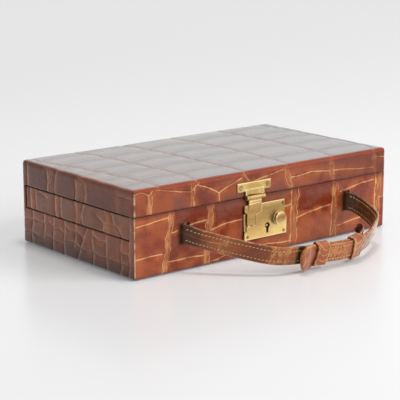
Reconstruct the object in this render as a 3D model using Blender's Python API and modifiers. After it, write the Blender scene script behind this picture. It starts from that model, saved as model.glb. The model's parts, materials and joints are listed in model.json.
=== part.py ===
# Travel jewellery case: a leather-covered box with a lift-up lid, a drawer that slides out of the left
# end, a brass hasp lock and a stitched handle whose two straps pass through slots in the front wall.
# Metres. X runs left to right along the front, Y from front to back, Z up. The origin lies under the
# middle of the case, on the surface it stands on.
import math

import bmesh
import bpy
from mathutils import Matrix, Vector

# Case
case_width = 0.2804
case_depth = 0.1600
case_height = 0.0727
lid_height = 0.0211
seam_gap = 0.0006
lid_overhang = 0.0006
leather = 0.0012
wood = 0.0032
rear_wall = 0.0020
front_liner = 0.0029
gap = 0.0003
overrun = 0.0020
corner_radius = 0.0030
lid_edge_radius = 0.0025
round_steps = 3

# Underside
panel_inset = 0.0070
covering_lift = 0.0004

# Drawer bay and drawer
drawer_height = 0.0192
drawer_wall = 0.0024
drawer_bottom = 0.0020
drawer_top_gap = 0.0006
drawer_end_room = 0.0040
drawer_sill_gap = 0.0009
drawer_rear_gap = 0.0015
drawer_inset = 0.0002
drawer_lip = 0.0070
runner_width = 0.0040
runner_height = 0.0028
pile = 0.0010
partition = 0.0016
partition_drop = 0.0015
ring_roll_count = 7
ring_roll_gap = 0.0022
ring_roll_drop = 0.0016
ring_space_share = 0.34
necklace_space_share = 0.40
stop_width = 0.0120
stop_length = 0.0060
stop_height = 0.0018
drawer_travel = 0.2000
lower_partition_share = 0.612
lower_partition_drop = 0.0020

# Lid lining
pad_thickness = 0.0060
pad_margin = 0.0030
pad_border = 0.0200
pad_edge_share = 0.55
pad_pull = 0.0015

# Lock plate: its middle from the middle of the case, its top edge from the lid's lower edge
lock_middle = -0.0045
lock_width = 0.0470
lock_drop = 0.0071
lock_height = 0.0299
plate_proud = 0.0030
plate_step_width = 0.0025
plate_step_height = 0.0158
notch_depth = 0.0026
notch_bottom_rise = 0.0075
notch_height = 0.0152
notch_floor = 0.0012
pin_radius = 0.0011
pin_inset = 0.0032
upper_pin_inset = 0.0019
pin_raise = 0.0026
pin_dome = 0.0003
pin_length = 0.0060

# Keyhole, from the plate's right and lower edges
key_inset = 0.0218
key_raise = 0.0097
key_radius = 0.0026
key_slot_width = 0.0023
key_slot_drop = 0.0060
key_post_radius = 0.0010
key_post_setback = 0.0008

# Lock case and bolt, the knob from the plate's right and lower edges
case_side_margin = 0.0005
lock_case_depth = 0.0082
lock_case_wall = 0.0010
bolt_height = 0.0034
bolt_thickness = 0.0016
bolt_setback = 0.0012
nose_length = 0.0024
knob_inset = 0.0092
knob_raise = 0.0144
knob_radius = 0.0060
knob_proud = 0.0068
knob_head_depth = 0.0022
knob_neck_radius = 0.0027
flange_radius = 0.0063
flange_depth = 0.0007
knob_round = 0.0007
stem_radius = 0.0015
bolt_tail = 0.0005
latch_travel = 0.0030
spring_width = 0.0030
spring_thickness = 0.0004
spring_bow = 0.0018

# Hasp, from the lock plate's left edge and the lid's lower edge
hasp_inset = 0.0110
bar_width = 0.0366
bar_raise = 0.0044
bar_height = 0.0079
bar_thickness = 0.0015
bar_edge = 0.0006
bar_screw_inset = 0.0037
screw_radius = 0.0019
screw_head_depth = 0.0005
screw_length = 0.0036
stem_width = 0.0200
knuckle_radius = 0.0021
knuckle_proud = 0.0033
hasp_pin_radius = 0.0009
hasp_pin_play = 0.00006
centre_knuckle_share = 0.68
leaf_thickness = 0.0014
leaf_head_width = 0.0182
leaf_head_drop = 0.0058
leaf_tail_width = 0.0092
leaf_tail_inset = 0.0028
leaf_tail_drop = 0.0176
leaf_shoulder_right = 0.0030
leaf_shoulder_left = 0.0014
staple_width = 0.0024
staple_height = 0.0050
staple_setback = 0.0004
staple_play = 0.0012

# Hinges at the back
hinge_inset = 0.0546
hinge_width = 0.0300
hinge_leaf = 0.0009
hinge_knuckle_radius = 0.0018
hinge_pin_radius = 0.0008
hinge_pin_play = 0.00006
hinge_knuckles = 5

# Handle
slot_span = 0.1829
slot_middle = -0.0020
slot_drop = 0.0201
strap_width = 0.0165
strap_thickness = 0.0026
handle_reach = 0.0651
handle_droop = math.radians(16.5)
hinge_standoff = 0.0046
strap_edge = 0.0006
strap_step = 0.0030
root_rings = 6
lap_start_share = 0.93
lap_full_share = 0.80
left_end_share = 0.768
tongue_end_share = 0.365
tongue_flare = 0.0045
tongue_spread_share = 0.30
tongue_spread_length = 0.0150
tongue_round = 0.0075
tongue_tip_share = 0.35
tip_curl_radius = 0.0034
tip_curl_turn = math.radians(200)
tip_curl_steps = 8
keeper_width = 0.0125
keeper_thickness = 0.0010
keeper_play = 0.0005
keeper_shares = (0.497, 0.703)
binding_side = 0.0014
binding_end = 0.0011
binding_proud = 0.0012
binding_round_share = 0.45
slot_play = 0.0006
pocket_width = 0.0240
pocket_play = 0.0035
pocket_front = 0.0052
stop_plate_width = 0.0150
stop_plate_thickness = 0.0010
root_tail = 0.0022

# The handle seen along its own plane: share of the slots' span from the left slot, share of the reach
handle_plan_shares = (
    (0.000, 0.000), (0.042, 0.150), (0.110, 0.383), (0.179, 0.594), (0.242, 0.767), (0.311, 0.879),
    (0.413, 0.939), (0.531, 0.973), (0.635, 1.000), (0.716, 0.971), (0.812, 0.879), (0.901, 0.774),
    (0.987, 0.593), (1.020, 0.317), (1.022, 0.118), (1.000, 0.000))

# Worked out from the sizes above
half_width = case_width / 2 - lid_overhang
half_depth = case_depth / 2 - lid_overhang
lid_half_width = case_width / 2
lid_half_depth = case_depth / 2
lid_bottom = case_height - lid_height
base_height = lid_bottom - seam_gap
front = -half_depth
back = half_depth
shell_side = half_width - leather - gap
shell_depth = half_depth - leather - gap
cavity_side = shell_side - wood
cavity_back = shell_depth - rear_wall
floor_bottom = covering_lift + leather + gap
floor_top = floor_bottom + wood

# The front wall is as deep as the pockets of the straps need
root_end = stop_plate_thickness + 2 * gap + root_tail
pocket_depth = root_end + gap
cavity_front = front + pocket_front + pocket_depth + front_liner

bay_front = cavity_front
bay_back = cavity_back
drawer_floor_height = base_height - drawer_height
bay_bottom = drawer_floor_height - drawer_sill_gap
drawer_front_side = bay_front + gap
drawer_back_side = bay_back - drawer_rear_gap
drawer_top = base_height - drawer_top_gap
drawer_left = -half_width + drawer_inset
drawer_right = cavity_side - drawer_end_room
drawer_body_left = drawer_left + leather + gap
lip_side = drawer_front_side - drawer_lip

lock_left = lock_middle - lock_width / 2
lock_right = lock_middle + lock_width / 2
lock_top = lid_bottom - lock_drop
lock_bottom = lock_top - lock_height
plate_front = front - plate_proud
plate_back = front - gap
case_left = lock_left + case_side_margin
case_right = lock_right - plate_step_width - case_side_margin
case_low = lock_bottom + pin_raise + pin_radius + 3 * gap
case_high = lock_top - pin_inset - pin_radius - 3 * gap
case_front = front + gap
case_back = case_front + lock_case_depth
knob_x = lock_right - knob_inset
knob_height = lock_bottom + knob_raise
key_x = lock_right - key_inset
key_height = lock_bottom + key_raise
tail_left = lock_left + leaf_tail_inset
tail_right = tail_left + leaf_tail_width
staple_x = (tail_left + tail_right) / 2
staple_back = front - staple_setback
staple_top = knob_height + staple_height / 2
hasp_middle = lock_left + hasp_inset
bar_bottom = lid_bottom + bar_raise
leaf_front = plate_front
leaf_back = leaf_front + leaf_thickness
hasp_axis_y = front - knuckle_proud
hasp_axis_z = lid_bottom - seam_gap

strap_half = strap_width / 2
slot_height = lid_bottom - slot_drop
pivot_y = front - hinge_standoff
pivot_z = slot_height
slot_left = slot_middle - slot_span / 2
slot_right = slot_middle + slot_span / 2
pocket_height = strap_width + pocket_play

hinge_x = half_width - hinge_inset
hinge_axis_y = lid_half_depth + hinge_knuckle_radius
hinge_leaf_start = cavity_back + 2 * gap
hinge_axis_z = base_height + seam_gap / 2


# Scene and helpers

for old in list(bpy.data.objects):
    bpy.data.objects.remove(old, do_unlink=True)


def new_collection(name):
    collection = bpy.data.collections.new(name)
    bpy.context.scene.collection.children.link(collection)
    return collection


parts = new_collection("travel_jewellery_case")
cutters = new_collection("cutters")


def material(name, colour, roughness, metallic=0.0):
    found = bpy.data.materials.new(name)
    found.use_nodes = True
    shader = found.node_tree.nodes["Principled BSDF"]
    shader.inputs["Base Color"].default_value = (*colour, 1.0)
    shader.inputs["Roughness"].default_value = roughness
    shader.inputs["Metallic"].default_value = metallic
    return found


def place(name, mesh_source, owner=parts):
    mesh = bpy.data.meshes.new(name)
    mesh_source.to_mesh(mesh)
    mesh_source.free()
    found = bpy.data.objects.new(name, mesh)
    owner.objects.link(found)
    if owner is cutters:
        found.hide_render = True
        found.display_type = "WIRE"
    return found


def is_upright(edge):
    a, b = (v.co for v in edge.verts)
    return abs(a.x - b.x) < gap and abs(a.y - b.y) < gap


def is_at_height(edge, height):
    return all(abs(v.co.z - height) < gap for v in edge.verts)


def block(name, low, high, owner=parts, rounding=0.0, chosen=None, steps=round_steps):
    shape = bmesh.new()
    bmesh.ops.create_cube(shape, size=1.0)
    bmesh.ops.scale(shape, vec=[b - a for a, b in zip(low, high)], verts=shape.verts)
    bmesh.ops.translate(shape, vec=[(a + b) / 2 for a, b in zip(low, high)], verts=shape.verts)
    if rounding > 0:
        edges = [e for e in shape.edges if chosen is None or chosen(e)]
        bmesh.ops.bevel(shape, geom=edges, offset=rounding, offset_type="OFFSET", segments=steps,
                        profile=0.5, affect="EDGES", clamp_overlap=True)
    return place(name, shape, owner)


def rod(name, start, end, radius, owner=parts, sides=20):
    start, end = Vector(start), Vector(end)
    shape = bmesh.new()
    turn = (end - start).to_track_quat("Z", "Y").to_matrix().to_4x4()
    bmesh.ops.create_cone(shape, cap_ends=True, segments=sides, radius1=radius, radius2=radius,
                          depth=(end - start).length,
                          matrix=Matrix.Translation((start + end) / 2) @ turn)
    return place(name, shape, owner)


def turned(name, profile, matrix, owner=parts, steps=28):
    # the profile lists radius and height, from the top of the axis down the outer side
    mesh = bpy.data.meshes.new(name)
    count = len(profile)
    mesh.from_pydata([(r, 0, h) for r, h in profile], [(i, i + 1) for i in range(count - 1)], [])
    found = bpy.data.objects.new(name, mesh)
    owner.objects.link(found)
    found.matrix_world = matrix
    screw = found.modifiers.new("turn", "SCREW")
    screw.steps = steps
    screw.render_steps = steps
    screw.use_merge_vertices = True
    screw.merge_threshold = 0.00001
    return found


def as_mesh(found, owner=parts):
    # a curve becomes a mesh, with its caps welded
    bpy.context.view_layer.update()
    depsgraph = bpy.context.evaluated_depsgraph_get()
    mesh = bpy.data.meshes.new_from_object(found.evaluated_get(depsgraph))
    shape = bmesh.new()
    shape.from_mesh(mesh)
    bmesh.ops.remove_doubles(shape, verts=shape.verts, dist=0.00001)
    shape.to_mesh(mesh)
    shape.free()
    made = bpy.data.objects.new(found.name, mesh)
    made.matrix_world = found.matrix_world.copy()
    owner.objects.link(made)
    name = found.name
    bpy.data.objects.remove(found, do_unlink=True)
    made.name = name
    return made


def outline_plate(name, outlines, y_front, y_back, owner=parts):
    # closed outlines in X and Z, filled and given a thickness along Y
    curve = bpy.data.curves.new(name, "CURVE")
    curve.dimensions = "2D"
    curve.fill_mode = "BOTH"
    curve.extrude = (y_back - y_front) / 2
    for outline in outlines:
        spline = curve.splines.new("POLY")
        spline.points.add(len(outline) - 1)
        for point, (x, z) in zip(spline.points, outline):
            point.co = (x, z, 0, 1)
        spline.use_cyclic_u = True
    found = bpy.data.objects.new(name, curve)
    owner.objects.link(found)
    found.matrix_world = (Matrix.Translation((0, (y_front + y_back) / 2, 0))
                          @ Matrix.Rotation(math.pi / 2, 4, "X"))
    found = as_mesh(found, owner)
    if owner is cutters:
        found.hide_render = True
        found.display_type = "WIRE"
    return found


def boolean(target, tool, operation):
    change = target.modifiers.new(operation.lower(), "BOOLEAN")
    change.operation = operation
    change.solver = "EXACT"
    change.object = tool
    if tool.name not in cutters.objects:
        cutters.objects.link(tool)
        parts.objects.unlink(tool)
    tool.hide_render = True
    tool.display_type = "WIRE"
    return target


def cut(target, tool):
    return boolean(target, tool, "DIFFERENCE")


def fuse(target, tool):
    return boolean(target, tool, "UNION")


def soften(target, width, steps=2, angle=math.radians(40)):
    bevel = target.modifiers.new("soft edges", "BEVEL")
    bevel.width = width
    bevel.segments = steps
    bevel.limit_method = "ANGLE"
    bevel.angle_limit = angle
    return target


def dress(found, look):
    found.data.materials.clear()
    found.data.materials.append(look)
    return found


def shade_round(found, angle=math.radians(35)):
    found.data.shade_smooth()
    found.data.set_sharp_from_angle(angle=angle)
    return found


def circle(x, z, radius, sides=24, start=0.0, sweep=2 * math.pi, closed=True):
    last = sides if closed else sides + 1
    return [(x + radius * math.cos(start + sweep * i / sides),
             z + radius * math.sin(start + sweep * i / sides)) for i in range(last)]


def pivot(name, location, turn=0.0):
    empty = bpy.data.objects.new(name, None)
    empty.location = location
    empty.rotation_euler = (turn, 0, 0)
    parts.objects.link(empty)
    bpy.context.view_layer.update()
    return empty


def carry(empty, *children):
    # parent without moving the child: its shape is already in world coordinates
    for child in children:
        world = child.matrix_world.copy()
        child.parent = empty
        child.matrix_parent_inverse = empty.matrix_world.inverted()
        child.matrix_world = world


# Looks

hide = (0.33, 0.085, 0.035)
dark_hide = (0.085, 0.028, 0.015)


# Base: carcass, covering, underside

def build_base():
    upright_low = lambda e: is_upright(e) or is_at_height(e, covering_lift)
    covering = block("base_covering", (-half_width, -half_depth, covering_lift),
                     (half_width, half_depth, base_height), rounding=corner_radius, chosen=upright_low)
    cut(covering, block("covering_hollow", (-half_width + leather, -half_depth + leather,
                                            covering_lift + leather),
                        (half_width - leather, half_depth - leather, base_height + overrun),
                        cutters, corner_radius - leather,
                        lambda e: is_upright(e) or is_at_height(e, covering_lift + leather)))
    cut(covering, block("covering_underside",
                        (-half_width + panel_inset, -half_depth + panel_inset, -overrun),
                        (half_width - panel_inset, half_depth - panel_inset,
                         covering_lift + leather + overrun), cutters))
    dress(covering, material("base covering", hide, 0.25))

    panel = block("underside_panel",
                  (-half_width + panel_inset + gap, -half_depth + panel_inset + gap, 0),
                  (half_width - panel_inset - gap, half_depth - panel_inset - gap, covering_lift + leather))
    dress(panel, material("underside", (0.05, 0.025, 0.018), 0.9))

    carcass = block("base_carcass", (-shell_side, -shell_depth, floor_bottom),
                    (shell_side, shell_depth, base_height), rounding=corner_radius - leather - gap,
                    chosen=lambda e: is_upright(e) or is_at_height(e, floor_bottom), steps=1)
    cut(carcass, block("base_cavity", (-cavity_side, cavity_front, floor_top),
                       (cavity_side, cavity_back, base_height + overrun), cutters))
    dress(carcass, material("base carcass", (0.42, 0.27, 0.15), 0.6))

    # the drawer's opening in the left end goes through carcass and covering
    opening = block("drawer_opening", (-half_width - overrun, bay_front, bay_bottom),
                    (-cavity_side + overrun, bay_back, base_height + overrun), cutters)
    # a shallow rebate beside it takes the lip of the drawer's front
    rebate = block("lip_rebate", (-half_width - overrun, lip_side - gap, bay_bottom),
                   (drawer_body_left + drawer_wall + gap, bay_front + overrun, base_height + overrun),
                   cutters)
    for tool in (opening, rebate):
        cut(covering, tool)
        cut(carcass, tool)
    return covering, carcass


def build_lining():
    look = material("pile lining", (0.16, 0.035, 0.03), 0.95)
    top = drawer_floor_height - runner_height - 2 * gap
    low = (-cavity_side + gap, cavity_front + gap, floor_top + gap)
    high = (cavity_side - gap, cavity_back - gap, top)
    lining = block("lower_lining", low, high)
    cut(lining, block("lower_lining_hollow", [v + pile for v in low],
                      (high[0] - pile, high[1] - pile, top + overrun), cutters))
    dress(lining, look)
    inner_front = low[1] + pile + gap
    inner_back = high[1] - pile - gap
    inner_side = high[0] - pile - gap
    x = inner_side * (2 * lower_partition_share - 1)
    wall = block("lower_partition", (x, inner_front, low[2] + pile + gap),
                 (x + partition, inner_back, top - lower_partition_drop))
    dress(wall, material("partition", (0.17, 0.04, 0.035), 0.95))
    look = material("runner", (0.35, 0.2, 0.1), 0.5)
    for name, y in (("runner_front", cavity_front + gap), ("runner_rear", cavity_back - gap - runner_width)):
        dress(block(name, (-cavity_side + gap, y, top + gap),
                    (cavity_side - gap, y + runner_width, top + gap + runner_height)), look)


# Drawer

def build_drawer():
    body_low = (drawer_body_left, drawer_front_side, drawer_floor_height)
    body_high = (drawer_right, drawer_back_side, drawer_top)
    body = block("drawer_body", body_low, body_high)
    fuse(body, block("drawer_lip", (body_low[0], lip_side, body_low[2]),
                     (body_low[0] + drawer_wall, body_low[1] + drawer_wall / 2, body_high[2]), cutters))
    cut(body, block("drawer_hollow",
                    (body_low[0] + drawer_wall, body_low[1] + drawer_wall, body_low[2] + drawer_bottom),
                    (body_high[0] - drawer_wall, body_high[1] - drawer_wall, drawer_top + overrun),
                    cutters))
    dress(body, material("drawer wood", (0.42, 0.27, 0.15), 0.6))

    face = block("drawer_front_covering", (drawer_left, lip_side, drawer_floor_height),
                 (drawer_left + leather, drawer_back_side, drawer_top), rounding=leather / 2,
                 chosen=lambda e: all(v.co.x < drawer_left + leather / 2 for v in e.verts))
    dress(face, material("drawer covering", hide, 0.3))

    # pile lining with three spaces: rings, small pieces, necklaces
    low = [body_low[0] + drawer_wall + gap, body_low[1] + drawer_wall + gap,
           body_low[2] + drawer_bottom + gap]
    high = [body_high[0] - drawer_wall - gap, body_high[1] - drawer_wall - gap, drawer_top - partition_drop]
    lining = block("drawer_lining", low, high)
    cut(lining, block("drawer_lining_hollow", [v + pile for v in low],
                      (high[0] - pile, high[1] - pile, drawer_top + overrun), cutters))
    dress(lining, material("drawer pile", (0.16, 0.035, 0.03), 0.95))

    left, near, floor = [v + pile + gap for v in low]
    right, far = high[0] - pile - gap, high[1] - pile - gap
    wall_top = high[2] - partition_drop
    ring_end = left + (right - left) * ring_space_share
    necklace_start = right - (right - left) * necklace_space_share
    look = material("drawer partition", (0.17, 0.04, 0.035), 0.95)
    for name, x in (("drawer_partition_left", ring_end), ("drawer_partition_right", necklace_start)):
        dress(block(name, (x, near, floor), (x + partition, far, wall_top)), look)
    middle_y = (near + far) / 2
    dress(block("drawer_partition_cross", (ring_end + partition + gap, middle_y - partition / 2, floor),
                (necklace_start - gap, middle_y + partition / 2, wall_top)), look)

    # ring rolls lie front to back, each with a round top and a flat foot
    look = material("ring roll", (0.2, 0.05, 0.04), 0.9)
    pitch = (ring_end - gap - left) / ring_roll_count
    radius = (pitch - ring_roll_gap) / 2
    for i in range(ring_roll_count):
        x = left + pitch * (i + 0.5)
        outline = circle(x, wall_top - ring_roll_drop - radius, radius, 10, 0.0, math.pi, closed=False)
        outline += [(x - radius, floor), (x + radius, floor)]
        roll = outline_plate(f"ring_roll_{i + 1}", [outline], near, far)
        dress(shade_round(roll), look)

    # a small block under the drawer meets the left wall and keeps the drawer in
    stop_x = -cavity_side + drawer_travel + gap
    stop = block("drawer_stop", (stop_x, -stop_width / 2, drawer_floor_height - gap - stop_height),
                 (stop_x + stop_length, stop_width / 2, drawer_floor_height - gap))
    dress(stop, material("drawer stop", (0.35, 0.2, 0.1), 0.5))


# Lid

def build_lid():
    at_top = lambda e: is_upright(e) or is_at_height(e, case_height)
    covering = block("lid_covering", (-lid_half_width, -lid_half_depth, lid_bottom),
                     (lid_half_width, lid_half_depth, case_height), rounding=lid_edge_radius,
                     chosen=at_top)
    cut(covering, block("lid_covering_hollow",
                        (-lid_half_width + leather, -lid_half_depth + leather, lid_bottom - overrun),
                        (lid_half_width - leather, lid_half_depth - leather, case_height - leather),
                        cutters, lid_edge_radius - leather,
                        lambda e: is_upright(e) or is_at_height(e, case_height - leather), 1))
    dress(covering, material("lid covering", hide, 0.2))

    side = lid_half_width - leather - gap
    depth = lid_half_depth - leather - gap
    top = case_height - leather - gap
    body = block("lid_carcass", (-side, -depth, lid_bottom), (side, depth, top),
                 rounding=lid_edge_radius - leather - gap,
                 chosen=lambda e: is_upright(e) or is_at_height(e, top), steps=1)
    cut(body, block("lid_cavity", (-side + wood, -depth + wood, lid_bottom - overrun),
                    (side - wood, depth - wood, top - wood), cutters))
    dress(body, material("lid carcass", (0.42, 0.27, 0.15), 0.6))

    # padded lining: a coarse cage whose middle stands down and whose sides are drawn in
    pad_x = side - wood - pad_margin
    pad_y = depth - wood - pad_margin
    pad_top = top - wood - gap
    shape = bmesh.new()
    bmesh.ops.create_grid(shape, x_segments=8, y_segments=6, size=1.0)
    bmesh.ops.scale(shape, vec=(pad_x, pad_y, 1), verts=shape.verts)
    made = bmesh.ops.extrude_face_region(shape, geom=shape.faces[:])
    low_verts = [v for v in made["geom"] if isinstance(v, bmesh.types.BMVert)]
    for v in low_verts:
        inner = min(pad_x - abs(v.co.x), pad_y - abs(v.co.y))
        rise = min(1.0, inner / pad_border)
        v.co.z = -pad_thickness * (pad_edge_share + (1 - pad_edge_share) * math.sin(rise * math.pi / 2))
    for v in shape.verts:
        pull_x = pad_pull * math.cos(math.pi / 2 * v.co.y / pad_y) * (abs(v.co.x) / pad_x) ** 4
        pull_y = pad_pull * math.cos(math.pi / 2 * v.co.x / pad_x) * (abs(v.co.y) / pad_y) ** 4
        v.co.x -= math.copysign(pull_x, v.co.x)
        v.co.y -= math.copysign(pull_y, v.co.y)
    bmesh.ops.translate(shape, vec=(0, 0, pad_top), verts=shape.verts)
    bmesh.ops.recalc_face_normals(shape, faces=shape.faces)
    pad = place("lid_pad", shape)
    smooth = pad.modifiers.new("smooth", "SUBSURF")
    smooth.levels = 1
    smooth.render_levels = 1
    dress(pad, material("lid lining", (0.2, 0.05, 0.04), 0.8))
    return covering, body


# Lock

def plate_outline():
    step_x = lock_right - plate_step_width
    step_z = lock_bottom + plate_step_height
    return [(lock_left, lock_bottom), (lock_right, lock_bottom), (lock_right, step_z), (step_x, step_z),
            (step_x, lock_top), (lock_left, lock_top)]


def leaf_outline(play=0.0):
    # with a play it is the recess of the leaf, open past the plate's top and left edges
    past = overrun if play else 0
    head_left = lock_left - past
    head_right = lock_left + leaf_head_width + play
    head_low = lock_top - leaf_head_drop - play
    low = lock_top - leaf_tail_drop - play
    return [(head_left, lock_top + past), (head_left, head_low),
            (tail_left - play, head_low - leaf_shoulder_left), (tail_left - play, low),
            (tail_right + play, low), (tail_right + play, head_low - leaf_shoulder_right),
            (head_right, head_low), (head_right, lock_top + past)]


def build_lock(covering, carcass):
    brass = material("lock brass", (0.78, 0.55, 0.22), 0.25, 1.0)
    plate = outline_plate("lock_plate", [plate_outline()], plate_front, plate_back)
    # the left edge is stepped down in its middle to a thin floor
    notch_low = lock_bottom + notch_bottom_rise
    cut(plate, block("left_notch", (lock_left - overrun, plate_front - overrun, notch_low),
                     (lock_left + notch_depth, plate_back - notch_floor, notch_low + notch_height), cutters))
    cut(plate, outline_plate("leaf_recess", [leaf_outline(gap)], plate_front - overrun,
                             leaf_back + gap, cutters))
    channel_low = staple_top - staple_height - staple_play
    channel_half = staple_width / 2 + gap
    channel = block("staple_channel", (staple_x - channel_half, plate_front - overrun, channel_low),
                    (staple_x + channel_half, plate_back + overrun, lock_top + overrun), cutters)
    cut(plate, channel)
    # behind the leaf and to its right the plate is hollowed from the back for the bolt's nose
    nose = staple_x + staple_width / 2
    cut(plate, block("nose_room", (nose, leaf_back + gap, knob_height - bolt_height / 2 - gap),
                     (nose + 2 * gap + nose_length + latch_travel, plate_back + overrun,
                      knob_height + bolt_height / 2 + gap), cutters))
    slot_low = key_height - key_slot_drop
    mouth = math.asin(key_slot_width / 2 / key_radius)
    keyhole = circle(key_x, key_height, key_radius, 24, mouth - math.pi / 2, 2 * (math.pi - mouth), False)
    keyhole += [(key_x - key_slot_width / 2, slot_low), (key_x + key_slot_width / 2, slot_low)]
    cut(plate, outline_plate("keyhole", [keyhole], plate_front - overrun, plate_back + overrun, cutters))
    stem_slot = [(knob_x + latch_travel + (stem_radius + gap) * math.cos(a),
                  knob_height + (stem_radius + gap) * math.sin(a))
                 for a in (math.pi * (-0.5 + i / 8) for i in range(9))]
    stem_slot += [(knob_x + (stem_radius + gap) * math.cos(a),
                   knob_height + (stem_radius + gap) * math.sin(a))
                  for a in (math.pi * (0.5 + i / 8) for i in range(9))]
    cut(plate, outline_plate("stem_slot", [stem_slot], plate_front - overrun, plate_back + overrun, cutters))
    dress(plate, brass)

    # four pins: their shanks pass through plate and covering into the wood
    pin_look = material("plate pin", (0.7, 0.5, 0.2), 0.35, 1.0)
    left_x = lock_left + pin_inset
    right_x = lock_right - pin_inset
    upper_right_x = lock_right - plate_step_width - upper_pin_inset
    high = lock_top - pin_inset
    low = lock_bottom + pin_raise
    for name, x, z in (("plate_pin_lower_left", left_x, low), ("plate_pin_lower_right", right_x, low),
                       ("plate_pin_upper_right", upper_right_x, high)):
        dress(rod(name, (x, plate_front - pin_dome, z), (x, plate_front + pin_length, z), pin_radius,
                  sides=12), pin_look)
        hole = rod(name + "_hole", (x, plate_front - overrun, z),
                   (x, plate_front + pin_length + gap, z), pin_radius + gap, cutters, 12)
        for target in (plate, covering, carcass):
            cut(target, hole)

    # lock case: a shallow box, open towards the plate
    box = block("lock_case", (case_left, case_front, case_low), (case_right, case_back, case_high))
    cut(box, block("lock_case_hollow",
                   (case_left + lock_case_wall, case_front - overrun, case_low + lock_case_wall),
                   (case_right - lock_case_wall, case_back - lock_case_wall, case_high - lock_case_wall),
                   cutters))
    dress(box, material("lock case", (0.45, 0.4, 0.32), 0.45, 1.0))
    mortise = block("lock_mortise", (case_left - gap, front - overrun, case_low - gap),
                    (case_right + gap, case_back + gap, case_high + gap), cutters)
    cut(covering, mortise)
    cut(carcass, mortise)

    post = rod("key_post", (key_x, plate_front + key_post_setback, key_height),
               (key_x, case_back - lock_case_wall - gap, key_height), key_post_radius, sides=12)
    dress(post, material("key post", (0.75, 0.55, 0.25), 0.3, 1.0))

    # return spring: a bowed strip beside the bolt's tail, clear of its whole travel
    spring_x = case_right - lock_case_wall - gap - spring_bow
    spring_y = case_front + bolt_setback + bolt_thickness + gap
    bow = 8
    outer = [(spring_x + spring_bow - spring_bow * math.sin(math.pi * i / bow),
              case_low + lock_case_wall + gap
              + (case_high - case_low - 2 * lock_case_wall - 2 * gap) * i / bow) for i in range(bow + 1)]
    inner = [(x - spring_thickness, z) for x, z in reversed(outer)]
    spring = outline_plate("bolt_spring", [outer + inner], spring_y, spring_y + spring_width)
    dress(spring, material("spring steel", (0.5, 0.5, 0.52), 0.35, 1.0))


def build_latch():
    look = material("knob brass", (0.8, 0.58, 0.25), 0.2, 1.0)
    head_top = knob_proud
    neck_top = knob_proud - knob_head_depth
    flange_low = plate_proud + gap
    tail = -(gap + bolt_setback + bolt_thickness / 2)
    profile = [(0, head_top)]
    for i in range(5):
        a = math.pi / 2 * i / 4
        profile.append((knob_radius - knob_round + knob_round * math.sin(a),
                        head_top - knob_round + knob_round * math.cos(a)))
    profile += [(knob_radius, neck_top + knob_round), (knob_radius - knob_round, neck_top),
                (knob_neck_radius, neck_top - knob_round / 2), (knob_neck_radius, flange_low + flange_depth),
                (flange_radius - flange_depth / 2, flange_low + flange_depth),
                (flange_radius, flange_low + flange_depth / 2), (flange_radius, flange_low),
                (stem_radius, flange_low), (stem_radius, tail), (0, tail)]
    turn = Matrix.Translation((knob_x, front, knob_height)) @ Matrix.Rotation(math.pi / 2, 4, "X")
    knob = turned("latch_knob", profile, turn)
    bolt_front = case_front + bolt_setback
    nose = staple_x + staple_width / 2 + gap
    tail_end = knob_x + stem_radius + bolt_tail
    bolt = block("bolt_bar", (nose, bolt_front, knob_height - bolt_height / 2),
                 (tail_end, bolt_front + bolt_thickness, knob_height + bolt_height / 2), cutters,
                 bolt_thickness / 3, is_upright, 1)
    fuse(knob, bolt)
    fuse(knob, block("bolt_nose", (nose, leaf_back + 2 * gap, knob_height - bolt_height / 2),
                     (nose + nose_length, bolt_front + bolt_thickness / 2, knob_height + bolt_height / 2),
                     cutters))
    dress(shade_round(knob), look)
    return knob


# Hasp

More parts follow.
